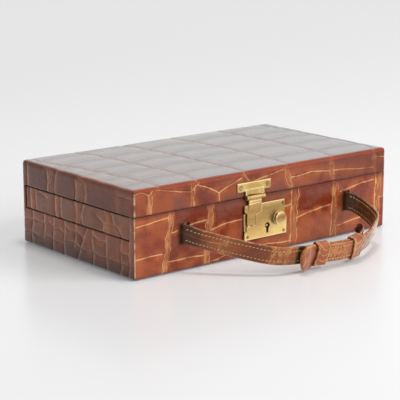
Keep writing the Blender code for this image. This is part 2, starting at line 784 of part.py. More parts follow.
def build_hasp(lid_covering, lid_carcass):
    brass = material("hasp plate brass", (0.8, 0.58, 0.24), 0.22, 1.0)
    lid_front = -lid_half_depth
    bar_back = lid_front - gap
    bar_front = bar_back - bar_thickness
    left = hasp_middle - bar_width / 2
    right = hasp_middle + bar_width / 2
    stem_left = hasp_middle - stem_width / 2
    stem_right = hasp_middle + stem_width / 2
    bar = block("hasp_plate", (left, bar_front, bar_bottom), (right, bar_back, bar_bottom + bar_height),
                rounding=bar_edge, chosen=lambda e: all(v.co.y < bar_front + gap for v in e.verts), steps=2)
    knuckle_back = hasp_axis_y + knuckle_radius
    neck = block("hasp_neck", (stem_left, bar_front - bar_thickness / 2, hasp_axis_z + knuckle_radius / 2),
                 (stem_right, bar_front + bar_thickness / 2, bar_bottom + bar_height / 4), cutters)
    fuse(bar, neck)
    fuse(bar, rod("hasp_plate_knuckle", (stem_left, hasp_axis_y, hasp_axis_z),
                  (stem_right, hasp_axis_y, hasp_axis_z), knuckle_radius, cutters, 24))
    centre_half = stem_width * centre_knuckle_share / 2
    cut(bar, block("knuckle_room", (hasp_middle - centre_half - gap, hasp_axis_y - 2 * knuckle_radius,
                                    hasp_axis_z - 2 * knuckle_radius),
                   (hasp_middle + centre_half + gap, knuckle_back + overrun,
                    hasp_axis_z + knuckle_radius + gap), cutters))
    cut(bar, rod("hasp_plate_bore", (stem_left - overrun, hasp_axis_y, hasp_axis_z),
                 (stem_right + overrun, hasp_axis_y, hasp_axis_z), hasp_pin_radius + hasp_pin_play,
                 cutters, 24))
    dress(shade_round(bar), brass)

    screw_look = material("hasp screw", (0.55, 0.42, 0.22), 0.4, 1.0)
    z = bar_bottom + bar_height / 2
    for name, x in (("hasp_screw_left", left + bar_screw_inset),
                    ("hasp_screw_right", right - bar_screw_inset)):
        head = rod(name, (x, bar_front - gap, z), (x, bar_front + screw_head_depth, z), screw_radius)
        fuse(head, rod(name + "_shank", (x, bar_front, z), (x, bar_front + screw_length, z),
                       screw_radius / 2, cutters, 12))
        dress(head, screw_look)
        sink = rod(name + "_sink", (x, bar_front - overrun, z),
                   (x, bar_front + screw_head_depth + gap, z), screw_radius + gap, cutters, 20)
        hole = rod(name + "_hole", (x, bar_front - overrun, z), (x, bar_front + screw_length + gap, z),
                   screw_radius / 2 + gap, cutters, 12)
        cut(bar, sink)
        for target in (bar, lid_covering, lid_carcass):
            cut(target, hole)

    pin = rod("hasp_pin", (stem_left, hasp_axis_y, hasp_axis_z), (stem_right, hasp_axis_y, hasp_axis_z),
              hasp_pin_radius, sides=24)
    dress(shade_round(pin), material("hasp pin", (0.7, 0.52, 0.25), 0.3, 1.0))

    # leaf: centre knuckle, neck down to the plate, inlaid leaf and the staple behind it
    leaf = outline_plate("hasp_leaf", [leaf_outline()], leaf_front, leaf_back)
    neck_low = lock_top - leaf_head_drop / 2
    fuse(leaf, block("leaf_neck", (hasp_middle - centre_half, leaf_front - leaf_thickness / 2, neck_low),
                     (hasp_middle + centre_half, leaf_front + leaf_thickness / 2, hasp_axis_z), cutters))
    fuse(leaf, rod("leaf_knuckle", (hasp_middle - centre_half, hasp_axis_y, hasp_axis_z),
                   (hasp_middle + centre_half, hasp_axis_y, hasp_axis_z), knuckle_radius, cutters, 24))
    cut(leaf, rod("leaf_bore", (stem_left - overrun, hasp_axis_y, hasp_axis_z),
                  (stem_right + overrun, hasp_axis_y, hasp_axis_z), hasp_pin_radius + hasp_pin_play,
                  cutters, 24))
    fuse(leaf, block("staple", (staple_x - staple_width / 2, leaf_back - leaf_thickness / 2,
                                staple_top - staple_height),
                     (staple_x + staple_width / 2, staple_back, staple_top), cutters, staple_width / 6,
                     None, 1))
    dress(shade_round(leaf), material("hasp leaf brass", (0.76, 0.53, 0.2), 0.25, 1.0))
    return leaf


# Hinges

def build_hinges(covering, carcass, lid_covering, lid_carcass):
    brass = material("hinge brass", (0.72, 0.52, 0.22), 0.3, 1.0)
    pitch = hinge_width / hinge_knuckles
    for side, x in (("left", -hinge_x), ("right", hinge_x)):
        start = x - hinge_width / 2
        leaves = {}
        for owner, z_low, z_high in (("base", base_height - hinge_leaf, base_height),
                                     ("lid", lid_bottom, lid_bottom + hinge_leaf)):
            leaf = block(f"hinge_{owner}_leaf_{side}", (start, hinge_leaf_start, z_low),
                         (start + hinge_width, hinge_axis_y, z_high))
            fuse(leaf, rod(f"hinge_{owner}_barrel_{side}", (start, hinge_axis_y, hinge_axis_z),
                           (start + hinge_width, hinge_axis_y, hinge_axis_z), hinge_knuckle_radius,
                           cutters, 20))
            leaves[owner] = leaf
            pocket = block(f"hinge_{owner}_pocket_{side}",
                           (start - gap, hinge_leaf_start - gap,
                            z_low - (gap if owner == "base" else overrun)),
                           (start + hinge_width + gap, hinge_axis_y + overrun,
                            z_high + (gap if owner == "lid" else overrun)), cutters)
            relief = rod(f"hinge_{owner}_relief_{side}", (start - gap, hinge_axis_y, hinge_axis_z),
                         (start + hinge_width + gap, hinge_axis_y, hinge_axis_z),
                         hinge_knuckle_radius + gap, cutters, 20)
            for target in ((covering, carcass) if owner == "base" else (lid_covering, lid_carcass)):
                cut(target, pocket)
                cut(target, relief)
        # the lid's leaf has every second knuckle; the rooms for them are cut from the base's leaf
        for i in range(hinge_knuckles):
            owner = "lid" if i % 2 else "base"
            other = "base" if i % 2 else "lid"
            play = gap / 2
            low = start + pitch * i - (play if i else 0)
            high = start + pitch * (i + 1) + (play if i < hinge_knuckles - 1 else 0)
            room = block(f"hinge_room_{side}_{i}_{owner}",
                         (low - (0 if i else overrun), hinge_axis_y - hinge_knuckle_radius - gap,
                          hinge_axis_z - 2 * hinge_knuckle_radius),
                         (high + (0 if i < hinge_knuckles - 1 else overrun),
                          hinge_axis_y + 2 * hinge_knuckle_radius,
                          hinge_axis_z + 2 * hinge_knuckle_radius), cutters)
            cut(leaves[other], room)
        bore = rod(f"hinge_bore_{side}", (start - overrun, hinge_axis_y, hinge_axis_z),
                   (start + hinge_width + overrun, hinge_axis_y, hinge_axis_z),
                   hinge_pin_radius + hinge_pin_play, cutters, 20)
        for leaf in leaves.values():
            cut(leaf, bore)
            dress(shade_round(leaf), brass)
        pin = rod(f"hinge_pin_{side}", (start, hinge_axis_y, hinge_axis_z),
                  (start + hinge_width, hinge_axis_y, hinge_axis_z), hinge_pin_radius, sides=20)
        dress(shade_round(pin), brass)
        yield side, leaves["lid"]


# Handle

def smooth_line(points, step):
    # a Catmull-Rom curve through the points, sampled at about equal steps
    fine = []
    count = len(points)
    for i in range(count - 1):
        p0 = Vector(points[max(i - 1, 0)])
        p1, p2 = Vector(points[i]), Vector(points[i + 1])
        p3 = Vector(points[min(i + 2, count - 1)])
        for k in range(12):
            t = k / 12
            fine.append(0.5 * ((2 * p1) + (p2 - p0) * t + (2 * p0 - 5 * p1 + 4 * p2 - p3) * t * t
                               + (3 * p1 - p0 - 3 * p2 + p3) * t ** 3))
    fine.append(Vector(points[-1]))
    length = sum((b - a).length for a, b in zip(fine, fine[1:]))
    number = max(4, round(length / step))
    even, walked, k = [fine[0]], 0.0, 0
    for i in range(1, number):
        target = length * i / number
        while walked + (fine[k + 1] - fine[k]).length < target:
            walked += (fine[k + 1] - fine[k]).length
            k += 1
        part = (target - walked) / (fine[k + 1] - fine[k]).length
        even.append(fine[k].lerp(fine[k + 1], part))
    even.append(fine[-1])
    return even


def handle_line():
    # X across, -Y outwards from the pivot axis, in the handle's own plane
    return [Vector((slot_left + slot_span * a, -handle_reach * b, 0)) for a, b in handle_plan_shares]


def offset_line(line, amount):
    # positive amounts move the line outwards, away from the case
    moved = []
    for i, p in enumerate(line):
        a, b = line[max(i - 1, 0)], line[min(i + 1, len(line) - 1)]
        along = (b - a).normalized()
        out = Vector((along.y, -along.x, 0))
        moved.append(p + out * (amount(i) if callable(amount) else amount))
    return moved


def share_of(line):
    # share of the slots' span reached by each point, by X
    return [(p.x - slot_left) / slot_span for p in line]


def ease(value):
    value = min(1.0, max(0.0, value))
    return value * value * (3 - 2 * value)


def strap(name, line, look, round_end=0.0, spread=0.0):
    curve = bpy.data.curves.new(name, "CURVE")
    curve.dimensions = "2D"
    curve.fill_mode = "NONE"
    curve.extrude = strap_half
    spline = curve.splines.new("POLY")
    spline.points.add(len(line) - 1)
    for point, p in zip(spline.points, line):
        point.co = (p.x, p.y, 0, 1)
    found = bpy.data.objects.new(name, curve)
    parts.objects.link(found)
    found = as_mesh(found)
    if round_end:
        # the free end spreads, then is rounded: the width falls off along a quarter circle
        end = line[-1]
        for v in found.data.vertices:
            d = (Vector((v.co.x, v.co.y, 0)) - end).length
            v.co.z *= 1 + spread * ease((tongue_spread_length - d) / tongue_spread_length)
            if d < round_end:
                share = math.sqrt(max(0.0, 1 - ((round_end - d) / round_end) ** 2))
                v.co.z *= tongue_tip_share + (1 - tongue_tip_share) * share
    thick = found.modifiers.new("thickness", "SOLIDIFY")
    thick.thickness = strap_thickness
    thick.offset = 0
    thick.use_even_offset = True
    soften(found, strap_edge, 2, math.radians(50))
    dress(shade_round(found), look)
    return found


def build_handle(covering, carcass):
    look = material("handle hide", (0.24, 0.07, 0.035), 0.35)
    inside_look = material("strap root", dark_hide, 0.6)
    line = smooth_line(handle_line(), strap_step)
    shares = share_of(line)
    lap = strap_thickness + gap
    peak = max(range(len(line)), key=lambda i: shares[i])

    left = [p for p, s, i in zip(line, shares, range(len(line))) if s <= left_end_share and i <= peak]
    # the left strap's tip curls in behind the second keeper
    heading = (left[-1] - left[-2]).normalized()
    inward = Vector((-heading.y, heading.x, 0))
    centre = left[-1] + inward * tip_curl_radius
    for i in range(1, tip_curl_steps + 1):
        a = tip_curl_turn * i / tip_curl_steps
        left.append(centre + (heading * math.sin(a) - inward * math.cos(a)) * tip_curl_radius)
    strap_left = strap("strap_left", left, look)

    keep = [i for i in range(len(line)) if shares[i] >= tongue_end_share or i > peak]
    right = [line[i] for i in keep]

    def lift(k):
        s = shares[keep[k]]
        if keep[k] > peak:
            return 0.0
        over = ease((lap_start_share - s) / (lap_start_share - lap_full_share))
        flare = ease((keeper_shares[0] - keeper_width / slot_span - s)
                     / (keeper_shares[0] - keeper_width / slot_span - tongue_end_share))
        return lap * over + tongue_flare * flare

    right = list(reversed(offset_line(right, lift)))
    strap_right = strap("strap_right", right, look, tongue_round, tongue_spread_share)

    # keepers go round both straps in the lap
    keepers = []
    for number, share in enumerate(keeper_shares, 1):
        at = min(range(peak), key=lambda i: abs(shares[i] - share))
        along = (line[at + 1] - line[at - 1]).normalized()
        out = Vector((along.y, -along.x, 0))
        middle = line[at] + out * lap / 2
        hole = Vector((keeper_width + 2 * overrun, 2 * strap_thickness + 3 * gap + keeper_play,
                       strap_width + 2 * gap))
        body = Vector((keeper_width, hole.y + 2 * keeper_thickness, hole.z + 2 * keeper_thickness))
        turn = Matrix.Rotation(math.atan2(along.y, along.x), 4, "Z")
        made = block(f"keeper_{number}", -body / 2, body / 2, rounding=keeper_thickness / 2,
                     chosen=lambda e: abs(e.verts[0].co.x - e.verts[1].co.x) > gap, steps=2)
        tool = block(f"keeper_hole_{number}", -hole / 2, hole / 2, cutters)
        for item in (made, tool):
            item.data.transform(Matrix.Translation(middle) @ turn)
        cut(made, tool)
        dress(made, look)
        keepers.append(made)

    # the straps start where the roots end: both are cut round the flex line
    flex = rod("flex_room", (slot_left - pocket_width, 0, 0), (slot_right + pocket_width, 0, 0),
               strap_half + gap, cutters, 32)
    behind = block("behind_flex", (slot_left - pocket_width, 0, -strap_width),
                   (slot_right + pocket_width, strap_width, strap_width), cutters)
    for item in (strap_left, strap_right):
        cut(item, flex)
        cut(item, behind)

    swing = pivot("handle_pivot", (0, pivot_y, pivot_z), handle_droop)
    for item in (strap_left, strap_right, *keepers, flex, behind):
        item.parent = swing
    for found in list(cutters.objects):
        if found.name.startswith("keeper_hole"):
            found.parent = swing

    # roots: each passes its slot in the front wall and ends behind a stop plate in a pocket
    binding_look = material("slot binding", dark_hide, 0.5)
    stop_look = material("stop plate", (0.6, 0.5, 0.3), 0.4, 1.0)
    pocket_y = front + pocket_front
    flex_zone = rod("flex_zone", (slot_left - pocket_width, pivot_y, pivot_z),
                    (slot_right + pocket_width, pivot_y, pivot_z), strap_half, cutters, 32)
    fuse(flex_zone, block("root_zone", (slot_left - pocket_width, pivot_y, pivot_z - strap_width),
                          (slot_right + pocket_width, cavity_front, pivot_z + strap_width), cutters))
    for side, x in (("left", slot_left), ("right", slot_right)):
        half = strap_thickness / 2
        inner_end = pocket_y + root_end - pivot_y
        straight = [Vector((x, inner_end * i / root_rings, 0)) for i in range(root_rings, 0, -1)]
        outer = line if side == "left" else list(reversed(line))
        root = strap(f"strap_root_{side}", straight + [p for p in outer if -p.y < strap_width][:root_rings],
                     inside_look)
        root.location = (0, pivot_y, pivot_z)
        boolean(root, flex_zone, "INTERSECT")
        slot = block(f"strap_slot_{side}",
                     (x - half - slot_play, front - overrun, pivot_z - strap_half - slot_play),
                     (x + half + slot_play, pocket_y + overrun, pivot_z + strap_half + slot_play), cutters)
        pocket = block(f"strap_pocket_{side}",
                       (x - pocket_width / 2, pocket_y, pivot_z - pocket_height / 2),
                       (x + pocket_width / 2, pocket_y + pocket_depth, pivot_z + pocket_height / 2), cutters)
        for target in (covering, carcass):
            cut(target, slot)
        cut(carcass, pocket)
        plate = block(f"strap_stop_{side}",
                      (x - stop_plate_width / 2, pocket_y + gap, pivot_z - pocket_height / 2 + gap),
                      (x + stop_plate_width / 2, pocket_y + gap + stop_plate_thickness,
                       pivot_z + pocket_height / 2 - gap))
        cut(plate, block(f"strap_stop_hole_{side}",
                         (x - half - gap, pocket_y, pivot_z - strap_width),
                         (x + half + gap, pocket_y + pocket_depth, pivot_z + strap_half + gap), cutters))
        dress(plate, stop_look)
        # binding: a folded leather rim round the slot's mouth
        rim = block(f"slot_binding_{side}",
                    (x - half - binding_side, front - gap - binding_proud,
                     pivot_z - strap_half - binding_end),
                    (x + half + binding_side, front - gap, pivot_z + strap_half + binding_end),
                    rounding=binding_proud * binding_round_share,
                    chosen=lambda e: all(v.co.y < front - gap - binding_proud / 2 for v in e.verts), steps=2)
        cut(rim, block(f"binding_mouth_{side}",
                       (x - half - gap, front - 2 * binding_proud - overrun, pivot_z - strap_half - gap),
                       (x + half + gap, front + overrun, pivot_z + strap_half + gap), cutters))
        dress(rim, binding_look)


covering, carcass = build_base()
build_lining()
build_drawer()
lid_covering, lid_carcass = build_lid()
build_lock(covering, carcass)
build_latch()
build_hasp(lid_covering, lid_carcass)
list(build_hinges(covering, carcass, lid_covering, lid_carcass))
build_handle(covering, carcass)

drawer_slide = pivot("drawer_slide", (0, 0, drawer_floor_height))
lid_pivot = pivot("lid_pivot", (0, hinge_axis_y, hinge_axis_z))
hasp_pivot = pivot("hasp_pivot", (0, hasp_axis_y, hasp_axis_z))
latch_slide = pivot("latch_slide", (knob_x, front, knob_height))
for found in list(parts.objects):
    if found.type != "MESH":
        continue
    if found.name.startswith(("drawer_", "ring_roll")):
        carry(drawer_slide, found)
    elif found.name.startswith(("lid_", "hinge_lid", "hasp_plate", "hasp_screw", "hasp_pin")):
        carry(lid_pivot, found)
    elif found.name == "hasp_leaf":
        carry(hasp_pivot, found)
    elif found.name == "latch_knob":
        carry(latch_slide, found)
print("pieces:", len([o for o in parts.objects if o.type == "MESH"]))
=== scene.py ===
import json
import math
import random

import bmesh
import bpy
import numpy as np
from mathutils import Matrix, Vector


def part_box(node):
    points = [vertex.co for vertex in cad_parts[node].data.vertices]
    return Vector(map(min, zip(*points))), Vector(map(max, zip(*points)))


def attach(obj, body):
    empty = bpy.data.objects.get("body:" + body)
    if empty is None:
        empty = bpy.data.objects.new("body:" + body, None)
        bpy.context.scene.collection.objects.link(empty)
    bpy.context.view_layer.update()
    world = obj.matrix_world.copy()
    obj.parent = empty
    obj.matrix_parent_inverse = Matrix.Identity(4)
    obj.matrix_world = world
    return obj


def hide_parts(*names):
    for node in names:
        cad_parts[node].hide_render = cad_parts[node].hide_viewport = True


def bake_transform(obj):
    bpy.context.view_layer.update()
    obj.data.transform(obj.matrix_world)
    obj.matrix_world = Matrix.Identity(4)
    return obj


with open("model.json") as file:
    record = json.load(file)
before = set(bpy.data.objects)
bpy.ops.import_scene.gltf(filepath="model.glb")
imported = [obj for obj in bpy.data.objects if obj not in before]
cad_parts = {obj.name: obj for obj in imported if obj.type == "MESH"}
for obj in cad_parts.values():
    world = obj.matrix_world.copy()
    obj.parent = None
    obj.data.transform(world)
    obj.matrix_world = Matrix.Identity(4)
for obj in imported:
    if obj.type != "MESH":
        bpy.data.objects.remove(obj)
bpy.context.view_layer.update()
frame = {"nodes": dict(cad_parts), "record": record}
nodes = frame["nodes"]
mm = 0.001
print("stage: frame loaded")

# Camera and studio

studio = {
    "cameraPlace": (-0.7890, -0.9526, 0.3195), "cameraTurn": (76.86, 0.0, -39.33), "lens": 129.5,
    "sensor": 36.0, "clip": (0.05, 30.0),
    "floorSize": 9.0, "floorColour": (0.80, 0.80, 0.805), "floorRough": 0.26,
    "floorGlow": (0.085, 0.185), "glowFrom": (0.45, 2.2), "mirrorGlow": 0.22,
    "boxEdge": (0.84, 0.97), "boxGlow": 0.8,
    "skyShown": (0.90, 0.90, 0.897), "skyLight": (0.36, 0.36, 0.365),
    "keyPlace": (1.0, -1.6, 1.1), "keySize": 1.4, "keyPower": 34.0,
    "topPlace": (0.05, -0.12, 1.9), "topSize": 0.45, "topPower": 12.0}


def buildStudio():
    scene = bpy.context.scene
    scene.view_settings.view_transform = "Standard"
    lens = bpy.data.cameras.new("photoCamera")
    lens.lens, lens.sensor_width, lens.sensor_fit = studio["lens"], studio["sensor"], "HORIZONTAL"
    lens.clip_start, lens.clip_end = studio["clip"]
    camera = bpy.data.objects.new("photoCamera", lens)
    camera.location = studio["cameraPlace"]
    camera.rotation_euler = [math.radians(a) for a in studio["cameraTurn"]]
    scene.collection.objects.link(camera)
    scene.camera = camera
    for name in ("key", "top"):
        light = bpy.data.lights.new(name + "Light", "AREA")
        light.shape, light.size, light.energy = "SQUARE", studio[name + "Size"], studio[name + "Power"]
        lamp = bpy.data.objects.new(name + "Light", light)
        lamp.location = studio[name + "Place"]
        lamp.rotation_euler = (-Vector(studio[name + "Place"])).to_track_quat("-Z", "Y").to_euler()
        scene.collection.objects.link(lamp)
    # polished pieces mirror a broad soft box where the key light stands, not the small bright lamp
    bpy.data.objects["keyLight"].visible_glossy = False
    world = bpy.data.worlds.new("studioSky")
    world.use_nodes = True
    scene.world = world
    tree = world.node_tree
    toward = addNode(tree, "ShaderNodeVectorMath",
                     {0: addNode(tree, "ShaderNodeTexCoord").outputs["Generated"],
                      1: Vector(studio["keyPlace"]).normalized()}, operation="DOT_PRODUCT").outputs["Value"]
    box = fade(tree, toward, *studio["boxEdge"], (0.0, studio["boxGlow"]))
    fillSockets(tree, tree.nodes["Background"], {
        "Color": mixColours(tree, seenRay(tree), studio["skyLight"], studio["skyShown"]),
        "Strength": maths(tree, "MULTIPLY_ADD", rayKind(tree, "Is Glossy Ray"), box, 1.0)})
    shape = bmesh.new()
    bmesh.ops.create_grid(shape, x_segments=1, y_segments=1, size=studio["floorSize"])
    floor = finishMesh("studioFloor", shape)
    floor.data.materials.append(floorLook())


# Node helpers

def fillSockets(tree, node, values):
    for key, value in values.items():
        if isinstance(value, bpy.types.NodeSocket):
            tree.links.new(value, node.inputs[key])
        else:
            node.inputs[key].default_value = value
    return node


def addNode(tree, kind, values=None, **settings):
    node = tree.nodes.new(kind)
    for key, value in settings.items():
        setattr(node, key, value)
    return fillSockets(tree, node, values or {})


def maths(tree, operation, a, b=0.0, c=0.0, clamp=False):
    node = addNode(tree, "ShaderNodeMath", {0: a, 1: b, 2: c}, operation=operation, use_clamp=clamp)
    return node.outputs[0]


def times(tree, a, b):
    return maths(tree, "MULTIPLY", a, b)


def opaque(colour):
    return (*colour, 1.0) if isinstance(colour, tuple) else colour


def mixColours(tree, factor, a, b):
    node = addNode(tree, "ShaderNodeMix", {0: factor, 6: opaque(a), 7: opaque(b)}, data_type="RGBA")
    return node.outputs[2]


def fade(tree, value, low, high, to=(0.0, 1.0)):
    # a smooth step from one value to another
    return addNode(tree, "ShaderNodeMapRange", {0: value, 1: low, 2: high, 3: to[0], 4: to[1]},
                   interpolation_type="SMOOTHSTEP").outputs[0]


def objectPlace(tree):
    return addNode(tree, "ShaderNodeTexCoord").outputs["Object"]


def objectAxes(tree):
    return addNode(tree, "ShaderNodeSeparateXYZ", {0: objectPlace(tree)}).outputs


def readField(tree, name):
    return addNode(tree, "ShaderNodeAttribute", attribute_name=name).outputs["Fac"]


def rayKind(tree, name):
    return tree.nodes.new("ShaderNodeLightPath").outputs[name]


def grain(tree, scale, detail=3.0, rough=0.55, stretch=None):
    place = objectPlace(tree)
    if stretch:
        place = addNode(tree, "ShaderNodeMapping", {0: place, 3: stretch}).outputs[0]
    return addNode(tree, "ShaderNodeTexNoise",
                   {"Vector": place, "Scale": scale, "Detail": detail, "Roughness": rough}).outputs[0]


def bumped(tree, height, strength):
    return addNode(tree, "ShaderNodeBump",
                   {"Height": height, "Strength": strength, "Distance": 0.4 * mm}).outputs[0]


def newMaterial(name, **sockets):
    found = bpy.data.materials.new(name)
    found.use_nodes = True
    shader = found.node_tree.nodes["Principled BSDF"]
    fillSockets(found.node_tree, shader, {key.replace("_", " "): value for key, value in sockets.items()})
    return found, found.node_tree, shader


def newGroup(name, colours, values, results):
    tree = bpy.data.node_groups.new(name, "ShaderNodeTree")
    for label in colours + values:
        kind = "NodeSocketColor" if label in colours else "NodeSocketFloat"
        tree.interface.new_socket(name=label, in_out="INPUT", socket_type=kind)
    for label, kind in results.items():
        tree.interface.new_socket(name=label, in_out="OUTPUT", socket_type=kind)
    return tree, addNode(tree, "NodeGroupInput").outputs, addNode(tree, "NodeGroupOutput")


def seenRay(tree):
    mirrored = maths(tree, "MAXIMUM", rayKind(tree, "Is Glossy Ray"), rayKind(tree, "Is Transmission Ray"))
    return maths(tree, "MAXIMUM", rayKind(tree, "Is Camera Ray"), mirrored)


def floorLook():
    # the glow is only for the eye: it brightens the floor without lighting the case
    found, tree, shader = newMaterial("studioFloor", Roughness=studio["floorRough"],
                                      Base_Color=opaque(studio["floorColour"]), Emission_Color=(1, 1, 1, 1))
    far = addNode(tree, "ShaderNodeVectorMath", {0: objectPlace(tree)}, operation="LENGTH").outputs["Value"]
    glow = times(tree, seenRay(tree), fade(tree, far, *studio["glowFrom"], studio["floorGlow"]))
    fillSockets(tree, shader, {"Emission Strength": maths(
        tree, "MULTIPLY_ADD", rayKind(tree, "Is Glossy Ray"), studio["mirrorGlow"], glow)})
    return found


# Glazed reptile hide: pale fine lines between the scales, paler wrinkled bands, mottled scales

fieldNames = ("groove", "side", "band", "tint", "age", "edge")
# some tones are painted light: a shade for rims, seams and the foot, a dark tone where the straps leave the
# wall and under the tongue, and a red where the top's reflection falls off at its front edge; the dull tone
# of the left side is partly painted shade, the pale corner tone partly a painted highlight
hideTones = {
    "agedLine": (0.38, 0.175, 0.070), "warm": (0.48, 0.120, 0.034), "band": (0.46, 0.145, 0.05),
    "dulledAndShaded": (0.105, 0.055, 0.040), "rim": (0.86, 0.60, 0.44), "strapRim": (0.72, 0.36, 0.14),
    "rubbed": (0.70, 0.32, 0.11), "lining": (0.085, 0.032, 0.018), "root": (0.055, 0.024, 0.012),
    "shade": (0.10, 0.012, 0.004), "foot": (0.035, 0.018, 0.012), "bounced": (0.10, 0.10, 0.10),
    "reflectionFalloffRed": (0.36, 0.050, 0.010), "flatView": (0.100, 0.098, 0.098)}
hideScales = {
    "broad": 30.0, "middle": 120.0, "fine": 900.0, "streak": 620.0, "streakStretch": (1.0, 1.0, 0.10),
    "smoke": 44.0, "smokeStretch": (1.0, 1.0, 1.4), "rubbed": 330.0, "edgeDrift": 70.0}
hideGlaze = {
    "coatRough": 0.09, "caseIor": 1.87, "strapIor": 1.55, "innerIor": 1.3,
    "footHigh": (24 * mm, 1 * mm), "edgeDeep": (8.0 * mm, 2.5 * mm), "edgeHigh": (68.8 * mm, 71.4 * mm),
    "edgeSway": 6 * mm}


def hideGroup():
    tree, given, out = newGroup(
        "hideGrain", ("Deep", "Mid", "Haze", "Light", "Rim"), ("Line", "Wear"),
        {"Color": "NodeSocketColor", "Rough": "NodeSocketFloat", "Height": "NodeSocketFloat"})
    groove, side, band, tint, age, edge = (readField(tree, name) for name in fieldNames)
    broad, middle = grain(tree, hideScales["broad"], 2.0), grain(tree, hideScales["middle"])
    fine = grain(tree, hideScales["fine"], 3.0, 0.6)
    streak = grain(tree, hideScales["streak"], 3.0, 0.6, hideScales["streakStretch"])
    light = mixColours(tree, times(tree, age, 0.80), given["Light"], hideTones["agedLine"])
    # mottled scales, with smoky middles and warm borders
    mottle = maths(tree, "MULTIPLY_ADD", broad, 1.1, times(tree, middle, 0.45))
    mottle = maths(tree, "MULTIPLY_ADD", tint, 0.45, mottle)
    colour = mixColours(tree, fade(tree, mottle, 0.72, 1.25), given["Deep"], given["Mid"])
    cloud = grain(tree, hideScales["smoke"], 3.0, 0.6, hideScales["smokeStretch"])
    smoke = times(tree, fade(tree, groove, 2.5, 8.0), fade(tree, cloud, 0.42, 0.62, (0.0, 0.85)))
    colour = mixColours(tree, smoke, colour, given["Haze"])
    warm = times(tree, fade(tree, groove, 5.5, 1.5), fade(tree, middle, 0.42, 0.62, (0.0, 0.55)))
    colour = mixColours(tree, warm, colour, hideTones["warm"])
    # painted shade: the hide darkens towards each groove
    colour = mixColours(tree, fade(tree, groove, 1.7, 0.5, (0.0, 0.55)), colour, given["Deep"])
    rim = times(tree, times(tree, fade(tree, groove, 1.3, 0.3), given["Wear"]), fade(tree, middle, 0.40, 0.6))
    colour = mixColours(tree, rim, colour, light)
    # wrinkled bands with pale flecks, and the case's pale corners: partly real wear, partly a painted
    # highlight
    bandMix = times(tree, band, fade(tree, streak, 0.36, 0.66, (0.10, 0.80)))
    colour = mixColours(tree, bandMix, colour, hideTones["band"])
    fleck = times(tree, band, fade(tree, streak, 0.60, 0.74, (0.0, 0.55)))
    colour = mixColours(tree, fleck, colour, light)
    worn = times(tree, fade(tree, edge, 0.70, 0.97),
                 fade(tree, maths(tree, "MULTIPLY_ADD", fine, 0.4, middle), 0.58, 0.80, (0.08, 0.95)))
    colour = mixColours(tree, worn, colour, given["Rim"])
    # the pale line on one side of each groove
    thin = times(tree, fade(tree, maths(tree, "ABSOLUTE", side), given["Line"], 0.12),
                 fade(tree, groove, 1.2, 0.7))
    lineMix = times(tree, thin, fade(tree, middle, 0.32, 0.58, (0.35, 1.0)))
    lineMix = times(tree, lineMix, fade(tree, band, 0.3, 0.9, (1.0, 0.45)))
    colour = mixColours(tree, lineMix, colour, light)
    rough = maths(tree, "ADD", fade(tree, fine, 0.3, 0.8, (0.24, 0.36)), times(tree, lineMix, 0.15))
    height = maths(tree, "MULTIPLY_ADD", thin, -0.5, times(tree, fine, 0.06))
    # the left side's duller, darker colour is partly aged hide, partly painted shade
    fillSockets(tree, out, {
        "Color": mixColours(tree, times(tree, age, 0.42), colour, hideTones["dulledAndShaded"]), "Rough": rough,
        "Height": maths(tree, "MULTIPLY_ADD", times(tree, streak, band), 0.45, height)})
    return tree


hideGrain = hideGroup()


